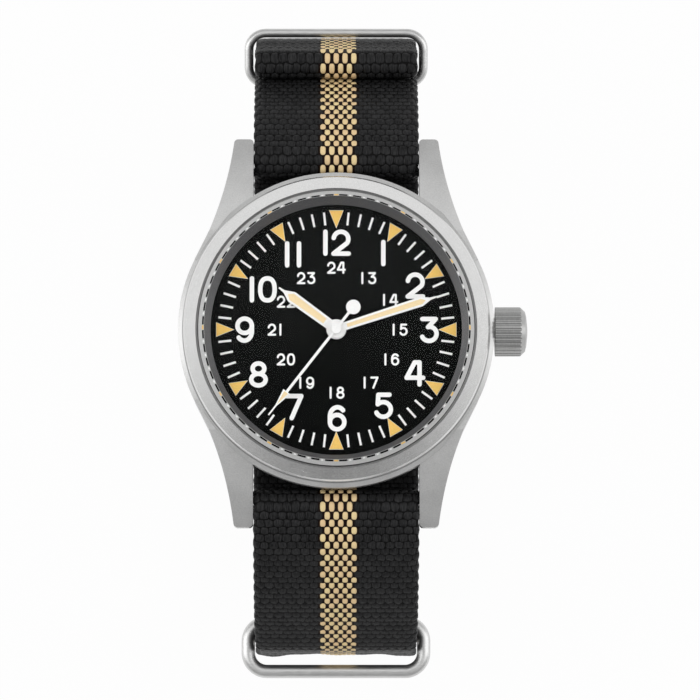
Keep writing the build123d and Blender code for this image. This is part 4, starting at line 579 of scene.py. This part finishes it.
keeperRoute = [
    (-26.954, -4.023, 0), (-32.55, -9.74, 5), (-32.55, -14.575, 1.555), (-35.7, -14.575, 1.555), (-35.7, -10.743, 5),
    (-24.5, 0.7, 5), (23.5, 0.7, 5), (31.826, -11.857, 5), (32.913, -16.447, 5), (32.761, -19.944, 0),
]
mainPath = roundedPath(mainRoute)
keeperPath = roundedPath(keeperRoute)
underCase = lengthNear(mainPath, 0, 2.25)
underBuckle = lengthNear(mainPath, 16.0, -47.0)
slotAt = lengthNear(mainPath, -1.862, -46.286)
# the free turn at twelve o'clock hangs in a wave, and the rings press the cloth where they swing
wave = {"depth": 0.20, "reach": 6.0, "slow": 8.6, "quick": 3.7, "arch": 0.62, "back": 0.15}
wavyAt = {"main_strap": (lengthNear(mainPath, -37.6, -25.0),)}
pressedAt = [lengthNear(mainPath, 38.0, -8.2), lengthNear(mainPath, 36.2, -9.2), lengthNear(mainPath, -37.3, -13.0)]
strapHoles = [{"s": slotAt, "long": 2.5, "wide": 0.95, "square": 2.6},
              {"s": lengthNear(mainPath, 2.25, -44.55), "long": 5.74, "wide": 1.25, "square": 5.0}]
strapHoles += [{"s": slotAt + 8.0 * i, "long": 0.9, "wide": 0.9, "square": 2.0} for i in (-2, -1, 1, 2, 3, 4, 5, 6)]
print("main strap", round(float(mainPath["length"]), 1), "mm,",
      "keeper strap", round(float(keeperPath["length"]), 1), "mm")
strapUpperRun = strapPiece("strapUpperRun", mainPath, 0, underCase, strapHoles, "main_strap", ends=(True, False))
strapLowerRun = strapPiece("strapLowerRun", mainPath, underCase, underBuckle, strapHoles, "main_strap")
strapTail = strapPiece("strapTail", mainPath, underBuckle, mainPath["length"], strapHoles, "main_strap",
                       ends=(False, True), tipShape=2.2)
keeperStrap = strapPiece("keeperStrap", keeperPath, 0, keeperPath["length"], [], "keeper_strap", ends=(True, True))
print("straps woven")

stitching = {"pitch": 2.2, "half": 0.78, "radius": 0.17, "edge": 8.3, "rise": 0.10, "proud": 0.05, "dip": 0.16,
             "taper": 0.86}


def stitchRows(name, rowsAt):
    # Thread bars in rows across a strap: a round section carried along x, whose radius shrinks with the root of
    # 1 - taper t^4, bowed by rise (1 - t^2) - dip t^6 so that both ends go down into the cloth; t is -1 to 1.
    centres = np.arange(-stitching["edge"], stitching["edge"] + 0.01, stitching["pitch"])
    t = np.linspace(-1, 1, 9)
    turn = np.linspace(0, 2 * np.pi, 8, endpoint=False)
    size = stitching["radius"] * np.sqrt(1 - stitching["taper"] * t ** 4)
    points, faces, count = [], [], 0
    for path, at, side in rowsAt:
        c, tt, a = np.meshgrid(centres, t, turn, indexing="ij")
        thick = np.broadcast_to(size[None, :, None], c.shape)
        x = c + stitching["half"] * tt
        s = at + thick * np.cos(a)
        base = weave["halfThick"] + stitching["proud"] + stitching["rise"] * (1 - tt ** 2) - stitching["dip"] * tt ** 6
        lift = side * (base + thick * np.sin(a))
        points.append(placeAlong(path, s, x, lift).reshape(-1, 3))
        quads = gridQuads(len(t), len(turn), closed=True)
        if side > 0:
            quads = quads[:, ::-1]
        each = len(t) * len(turn)
        ring = np.arange(len(turn))
        caps = np.stack([ring, ring + each - len(turn)])
        caps[1] = caps[1][::-1]
        if side > 0:
            caps = caps[:, ::-1]
        shifts = count + each * np.arange(len(centres))
        faces.append((quads[None] + shifts[:, None, None]).reshape(-1, 4))
        faces.append((caps[None] + shifts[:, None, None]).reshape(-1, len(turn)))
        count += each * len(centres)
    return makePiece(name, np.concatenate(points), faces, threadBlack)


def stitchesAt(path, wristSide, outerSide):
    # Rows of stitches at the path's points nearest to each (y, z), on its wrist side and on its outer side.
    return ([(path, lengthNear(path, *at), -1) for at in wristSide] +
            [(path, lengthNear(path, *at), 1) for at in outerSide])


hemThread = stitchRows("hemStitches", stitchesAt(
    mainPath, [(26.9, -36.6), (24.3, -39.4), (22.0, -40.6)], [(28.3, -37.5), (25.3, -40.7), (22.7, -42.1)]))
keeperThread = stitchRows("keeperStitches", stitchesAt(
    keeperPath, [(-28.2, -5.3), (-30.6, -7.8), (32.5, -14.8), (32.85, -18.4)], [(-30.3, -5.2), (-32.7, -7.7)]))

# Printed dial
printing = {"thick": 0.025, "sink": 0.005, "stagger": 0.004, "bigStroke": 0.54, "bigBox": (1.0, 1.0),
            "smallStroke": 0.245, "smallBox": (0.43, 0.462), "tickIn": 12.65, "tickOut": 14.2, "tickWide": 0.26}


def arc(cx, cy, rx, ry, start, end, count=28):
    # Part of an ellipse between two angles in degrees.
    a = np.radians(np.linspace(start, end, count))
    return np.stack([cx + rx * np.cos(a), cy + ry * np.sin(a)], -1)


def line(*points):
    # Straight strokes from point to point.
    return np.array(points, dtype=float)


def ovalZero(count=64):
    # A slightly squared oval: |x|^2.4 + |y|^2.4 = 1, scaled.
    a = np.linspace(0, 2 * np.pi, count)
    c, s = np.cos(a), np.sin(a)
    return np.stack([0.86 * np.sign(c) * np.abs(c) ** (2 / 2.4), 1.32 * np.sign(s) * np.abs(s) ** (2 / 2.4)], -1)


sixStrokes = [arc(0, -0.46, 0.86, 0.86, 0, 360, 48),
              np.concatenate([arc(0.04, 0.22, 0.90, 1.10, 42, 180, 30), line((-0.86, -0.46))])]
digitStrokes = {
    "0": [ovalZero()],
    "1": [line((0, 1.32), (0, -1.32))],
    "2": [np.concatenate([arc(0, 0.44, 0.88, 0.88, 172, -32, 30), line((-0.90, -1.32))]),
          line((-0.90, -1.32), (0.92, -1.32))],
    "3": [line((-0.80, 1.32), (0.80, 1.32)), line((0.80, 1.32), (-0.12, 0.34)),
          np.concatenate([line((-0.12, 0.34)), arc(0, -0.46, 0.90, 0.86, 82, -155, 34)])],
    "4": [line((-0.02, 1.32), (-0.98, -0.52)), line((-0.98, -0.52), (1.0, -0.52)), line((0.56, 1.32), (0.56, -1.32)),
          line((-0.02, 1.32), (0.56, 1.32))],
    "5": [line((-0.58, 1.32), (0.74, 1.32)), line((-0.58, 1.32), (-0.66, 0.18)),
          np.concatenate([line((-0.66, 0.18)), arc(0.0, -0.44, 0.90, 0.88, 128, -155, 36)])],
    "6": sixStrokes,
    "7": [line((-0.86, 1.32), (0.86, 1.32)), line((0.86, 1.32), (-0.28, -1.32))],
    "8": [arc(0, 0.70, 0.70, 0.62, 0, 360, 40), arc(0, -0.62, 0.86, 0.70, 0, 360, 44)],
    "9": [-stroke for stroke in sixStrokes],
}
bigNumbers = [("1", -1.31, 10.49), ("2", 0.56, 10.49), ("1", 5.64, 9.24), ("2", 9.46, 5.32), ("3", 11.11, -0.03),
              ("4", 9.40, -5.26), ("5", 5.62, -9.15), ("6", 0.10, -10.65), ("7", -5.05, -9.31), ("8", -9.32, -5.39),
              ("9", -10.98, 0.0), ("1", -10.12, 4.85), ("0", -8.26, 4.85), ("1", -5.90, 9.07), ("1", -4.48, 9.07)]
smallNumbers = {"24": (0.0, 7.47), "13": (3.87, 6.21), "14": (6.47, 3.58), "15": (7.62, 0.0), "16": (6.63, -3.58),
                "17": (4.14, -6.37), "18": (0.07, -7.58), "19": (-3.56, -6.39), "20": (-6.03, -3.58),
                "21": (-7.36, 0.0), "22": (-6.03, 3.37), "23": (-3.62, 6.21)}


def strokeMesh(points, width, level, thick, roundEnds=True):
    # A flat ribbon of even width along a line, with half-round ends, raised by its thickness and open below.
    # A line that comes back to its start gives a ring with no ends.
    if np.allclose(points[0], points[-1]):
        points = points[:-1]
        way = np.roll(points, -1, axis=0) - np.roll(points, 1, axis=0)
        way /= np.hypot(way[:, 0], way[:, 1])[:, None]
        side = np.stack([-way[:, 1], way[:, 0]], -1) * width / 2
        both = np.concatenate([points + side, points - side])
        n = len(points)
        k = np.arange(n)
        m = (k + 1) % n
        groups = [np.stack([k, n + k, n + m, m], -1), np.stack([k, m, m + 2 * n, k + 2 * n], -1),
                  np.stack([n + m, n + k, 3 * n + k, 3 * n + m], -1)]
        top = np.concatenate([both, np.full((2 * n, 1), level + thick)], 1)
        low = np.concatenate([both, np.full((2 * n, 1), level - printing["sink"])], 1)
        return np.concatenate([top, low]), groups
    way = np.gradient(points, axis=0)
    way /= np.hypot(way[:, 0], way[:, 1])[:, None]
    side = np.stack([-way[:, 1], way[:, 0]], -1) * width / 2
    a = np.linspace(np.pi / 2, -np.pi / 2, 9)[1:-1, None]
    left, right = points + side, points - side
    if roundEnds:
        cap = points[-1] + side[-1] * np.sin(a) + way[-1] * width / 2 * np.cos(a)
        tail = points[0] - side[0] * np.sin(a) - way[0] * width / 2 * np.cos(a)
        outline = np.concatenate([left, cap, right[::-1], tail])
    else:
        outline = np.concatenate([left, right[::-1]])
    n, m = len(points), len(outline)
    top = np.concatenate([outline, np.full((m, 1), level + thick)], 1)
    low = np.concatenate([outline, np.full((m, 1), level - printing["sink"])], 1)
    capSize = (m - 2 * n) // 2
    k = np.arange(n - 1)
    rightOf = 2 * n + capSize - 1 - k if roundEnds else m - 1 - k
    strip = np.stack([k, rightOf, rightOf - 1, k + 1], -1)
    around = np.arange(m)
    wall = np.stack([around, (around + 1) % m, (around + 1) % m + m, around + m], -1)
    groups = [strip, wall]
    if roundEnds:
        groups += [np.arange(n - 1, n + capSize + 1)[::-1][None],
                   np.concatenate([np.arange(2 * n + capSize - 1, m), [0]])[::-1][None]]
    return np.concatenate([top, low]), groups


def mergeMeshes(parts):
    # Several point lists and their faces as one, each face list moved on by the points before it.
    points, faces, count = [], [], 0
    for partPoints, groups in parts:
        points.append(partPoints)
        faces += [group + count for group in groups]
        count += len(partPoints)
    return np.concatenate(points), faces


def dialPrint():
    # Each figure's strokes scaled by its box and moved to its place, and a straight tick at each plain minute.
    parts = []

    def digit(figure, x, y, size):
        # strokes that cross have slightly different heights, so that no two tops lie in one plane
        for order, shape in enumerate(digitStrokes[figure]):
            parts.append(strokeMesh(shape * printing[size + "Box"] + (x, y), printing[size + "Stroke"], dialTop,
                                    printing["thick"] + printing["stagger"] * order))
    for figure, x, y in bigNumbers:
        digit(figure, x, y, "big")
    for number, (x, y) in smallNumbers.items():
        apart = {"1": (-0.75, 0.42)}.get(number[0], (-0.60, 0.60))
        if number[1] == "1":
            apart = (-0.36, 0.66)
        for figure, shift in zip(number, apart):
            digit(figure, x + shift, y, "small")
    for minute in range(60):
        if minute % 5:
            a = math.radians(6 * minute)
            way = np.array([math.sin(a), math.cos(a)])
            parts.append(strokeMesh(np.stack([way * printing["tickIn"], way * printing["tickOut"]]),
                                    printing["tickWide"], dialTop, printing["thick"], roundEnds=False))
    points, faces = mergeMeshes(parts)
    return makePiece("dialPrint", points, faces, printWhite, smooth=False)


dialPrint()

markers = {"baseRadius": 14.40, "tipRadius": 12.22, "wide": 1.75, "thick": 0.03}


def markerEdges():
    # A thin pale triangle under each luminous one, a little larger, so that its edge shows.
    a = np.radians(np.arange(12) * 30.0)
    out = np.stack([np.sin(a), np.cos(a)], -1)
    side = np.stack([np.cos(a), -np.sin(a)], -1)
    corners = np.stack([out * markers["baseRadius"] + side * markers["wide"] / 2,
                        out * markers["tipRadius"], out * markers["baseRadius"] - side * markers["wide"] / 2], 1)
    top = np.concatenate([corners, np.full((12, 3, 1), dialTop + markers["thick"])], 2)
    low = np.concatenate([corners, np.full((12, 3, 1), dialTop - printing["sink"])], 2)
    points = np.concatenate([top, low], 1).reshape(-1, 3)
    base = 6 * np.arange(12)[:, None]
    lid = base + np.array([[0, 1, 2]])
    walls = np.concatenate([base + np.array([[1, 0, 3, 4]]), base + np.array([[2, 1, 4, 5]]),
                            base + np.array([[0, 2, 5, 3]])])
    return makePiece("markerEdges", points, [lid, walls], printWhite, smooth=False)


markerEdges()

groundEdge = {"slope": 1.0, "from": 16.1, "level": 8.7}
groundGlass = plainFinish("groundGlass", (0.58, 0.58, 0.575), 0.0, (0.5, 0.7), 9.0)


def edgeDashes(name, finish, starts, spans, inner, outer, lift=0.006):
    # Short arcs on the crystal's ground edge: the minute track shows again there as dashes, a painted reflection, over
    # a frosted ring of the glass's own tone. Each goes from its start over its span in degrees, between two radii, at
    # the cone's level, which falls by slope for each millimetre out.
    count = 7
    turns = np.radians(np.asarray(starts)[:, None] + np.asarray(spans)[:, None] * np.linspace(0, 1, count))
    radii = np.array([inner, outer])
    level = headLift + groundEdge["level"] - (radii - groundEdge["from"]) * groundEdge["slope"]
    turn, radius = np.meshgrid(turns.ravel(), radii, indexing="ij")
    points = np.stack([radius * np.sin(turn), radius * np.cos(turn), np.broadcast_to(level + lift, radius.shape)], -1)
    quads = gridQuads(count, 2)[:, ::-1]
    quads = (quads[None] + 2 * count * np.arange(len(turns))[:, None, None]).reshape(-1, 4)
    return makePiece(name, points, [quads], finish, smooth=False)


minutes = np.arange(60)
plainMinutes = minutes[minutes % 5 > 0]
# the grey ring is the ground edge's own frosted tone; the white dots, gold hour dashes and black dashes over it are a
# painted reflection of the dial's minute track
edgeDashes("edgeGlass", groundGlass, minutes * 6, np.full(60, 6.0), 15.80, 16.50, 0.003)
edgeDashes("edgeReflectedDots", printWhite, plainMinutes * 6 - 0.5, np.full(48, 1.0), 15.86, 16.04)
edgeDashes("edgeReflectedGold", finishes["gold_lume"], np.arange(12) * 30 - 0.9, np.full(12, 1.8), 15.86, 16.04)
edgeDashes("edgeReflectedBlack", finishes["dial_paint"], minutes * 6 + 1.2, np.full(60, 3.6), 15.84, 16.04)
print("dial printed")

# Finishes on the modelled nodes
wireNodes = ["end_ring", "upper_keeper_ring", "buckle_keeper_ring", "buckle_frame", "buckle_tongue"]
ownFinish = {"bezel": bezelSteel, "case_back": caseBackSteel, "crown": crownSteel,
             **dict.fromkeys(wireNodes, ringSteel)}
nodeSlots = {
    "blasted_steel": ["case_middle", "bezel"],
    "satin_steel": ["case_back", "crown", "upper_spring_bar_tube", "lower_spring_bar_tube"] + wireNodes,
    "crystal": ["crystal"],
    "seal_rubber": ["crown_gasket", "case_back_gasket"],
    "crystal_seal": ["crystal_gasket"],
    "dial_paint": ["dial"],
    "chapter_grey": ["chapter_ring"],
    "lume": ["hour_hand_fill", "minute_hand_fill", "second_hand_fill"],
    "gold_lume": ["dial_triangles"],
    "hand_white": ["hour_hand", "minute_hand", "second_hand"],
    "brass_part": ["centre_wheel", "third_wheel", "fourth_wheel", "fifth_wheel", "minute_wheel", "hour_wheel",
                   "setting_wheel", "main_plate"],
    "nickel_plate": ["train_bridge", "rotor"],
    "holder_plastic": ["movement_holder"],
    "board": ["circuit_board"],
    "copper_wire": ["coil_winding"],
    "soft_iron": ["stator", "coil_core"],
    "nylon": ["main_strap", "keeper_strap"],
}
finishOf = {node: finishes[slot] for slot, nodes in nodeSlots.items() for node in nodes}
finishOf.update(ownFinish)
for name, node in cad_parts.items():
    for slot in node.material_slots:
        slot.material = finishOf.get(name, finishes["polished_steel"])
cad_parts["crystal"].visible_shadow = False
print("finishes laid on")

# Floor, light and camera
stage = {"floorSize": 3.0, "floorTone": 0.90, "whiteShare": 0.96}
view = {"dialCentrePixel": (336.3, 329.7), "mmPerPixel": 0.11987, "pixels": 700, "distance": 620.0,
        "way": (0.004, 0.096, -1.0), "filmWidth": 36, "clip": (0.02, 20)}
lamps = {
    "leftBank": {"place": (-0.55, 0.02, 0.34), "size": (0.35, 0.8), "power": 1.55},
    "rightBank": {"place": (0.55, 0.05, 0.34), "size": (0.35, 0.8), "power": 1.35},
}
sky = {"low": 0.38, "middle": 0.59, "high": 1.04, "brightFrom": 0.80, "way": (0.0, 0.30, 0.954),
       "shadeWay": (0.0, -0.115, 0.993), "shadeFrom": 0.970, "shadeFull": 0.994, "shade": 0.22}


def paleFloor():
    # A square of white paper under the object's lowest point: camera, mirror and glass rays see it nearly white.
    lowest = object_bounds()[0][2]
    size = stage["floorSize"]
    mesh = bpy.data.meshes.new("paleFloor")
    mesh.from_pydata([(-size, -size, lowest), (size, -size, lowest), (size, size, lowest), (-size, size, lowest)], [],
                     [(0, 1, 2, 3)])
    material = bpy.data.materials.new("floorPaper")
    material.use_nodes = True
    tree = material.node_tree
    tree.nodes.clear()
    paper = addNode(tree, "ShaderNodeBsdfDiffuse", {"Color": (*[stage["floorTone"]] * 3, 1)})
    white = addNode(tree, "ShaderNodeEmission", {"Color": (1, 1, 1, 1), "Strength": 1.0})
    rays = addNode(tree, "ShaderNodeLightPath")
    seen = calc(tree, "MAXIMUM", rays.outputs["Is Camera Ray"], rays.outputs["Is Transmission Ray"])
    seen = calc(tree, "MAXIMUM", seen, rays.outputs["Is Glossy Ray"])
    mix = addNode(tree, "ShaderNodeMixShader", [calc(tree, "MULTIPLY", seen, stage["whiteShare"]), paper.outputs[0],
                                                white.outputs[0]])
    # clear from beneath, so that the underside can be looked at
    beneath = addNode(tree, "ShaderNodeNewGeometry").outputs["Backfacing"]
    clear = addNode(tree, "ShaderNodeBsdfTransparent")
    oneSided = addNode(tree, "ShaderNodeMixShader", [beneath, mix.outputs[0], clear.outputs[0]])
    addNode(tree, "ShaderNodeOutputMaterial", [oneSided.outputs[0]])
    mesh.materials.append(material)
    floor = bpy.data.objects.new("paleFloor", mesh)
    bpy.context.scene.collection.objects.link(floor)
    floor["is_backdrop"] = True


def softSky():
    # Even light all round and a brighter part overhead, leaning to the far side. With c the share of a direction
    # that points at the bright part: low + (middle - low) x c, then up to high from brightFrom to 1.
    world = bpy.data.worlds.new("softSky")
    bpy.context.scene.world = world
    world.use_nodes = True
    tree = world.node_tree
    background = tree.nodes["Background"]
    direction = addNode(tree, "ShaderNodeTexCoord").outputs["Generated"]
    toward = addNode(tree, "ShaderNodeVectorMath", [direction, sky["way"]], operation="DOT_PRODUCT").outputs["Value"]
    wide = spread(tree, toward, sky["low"], sky["middle"], 0.0, 1.0)
    near = spread(tree, toward, 0.0, sky["high"] - sky["middle"], sky["brightFrom"], 1.0)
    strength = calc(tree, "ADD", wide, near)
    # the dark lens that the light tent leaves free, near where the picture is taken from
    aside = addNode(tree, "ShaderNodeVectorMath", [direction, sky["shadeWay"]], operation="DOT_PRODUCT")
    shade = spread(tree, aside.outputs["Value"], 1.0, sky["shade"], sky["shadeFrom"], sky["shadeFull"])
    strength = calc(tree, "MULTIPLY", strength, shade)
    seen = addNode(tree, "ShaderNodeLightPath").outputs["Is Camera Ray"]
    tree.links.new(blendNumber(tree, seen, strength, 1.0), background.inputs["Strength"])
    background.inputs["Color"].default_value = (1, 1, 1, 1)


def softLamp(name, place, size, power):
    # A rectangular lamp at its place in metres, turned so that it faces the middle of the scene.
    light = bpy.data.lights.new(name, "AREA")
    light.shape = "RECTANGLE"
    light.size, light.size_y = size
    light.energy = power
    lamp = bpy.data.objects.new(name, light)
    bpy.context.scene.collection.objects.link(lamp)
    lamp.location = place
    away = np.array(place) / np.linalg.norm(place)
    lamp.rotation_euler = (math.acos(away[2]), 0, math.atan2(away[0], -away[1]))


def photoCamera():
    # Looks along the view's direction at the point that the photograph has in its middle, at the dial's level. The
    # lens is the film's width times the distance over the frame's width there.
    way = np.array(view["way"]) / np.linalg.norm(view["way"])
    px, py = view["dialCentrePixel"]
    middle = view["pixels"] / 2
    target = np.array([(middle - px) * view["mmPerPixel"], (py - middle) * view["mmPerPixel"], dialTop])
    place = target - way * view["distance"]
    data = bpy.data.cameras.new("photoCamera")
    data.sensor_width = view["filmWidth"]
    data.lens = view["filmWidth"] * view["distance"] / (view["pixels"] * view["mmPerPixel"])
    data.clip_start, data.clip_end = view["clip"]
    camera = bpy.data.objects.new("photoCamera", data)
    bpy.context.scene.collection.objects.link(camera)
    camera.location = place * mm
    right = np.cross(way, (0, 1, 0))
    right /= np.linalg.norm(right)
    up = np.cross(right, way)
    camera.rotation_euler = Matrix(np.stack([right, up, -way], 1).tolist()).to_euler()
    bpy.context.scene.camera = camera


paleFloor()
softSky()
for lampName, lamp in lamps.items():
    softLamp(lampName, **lamp)
photoCamera()
bpy.context.scene.view_settings.view_transform = "Standard"
print("stage and camera set")
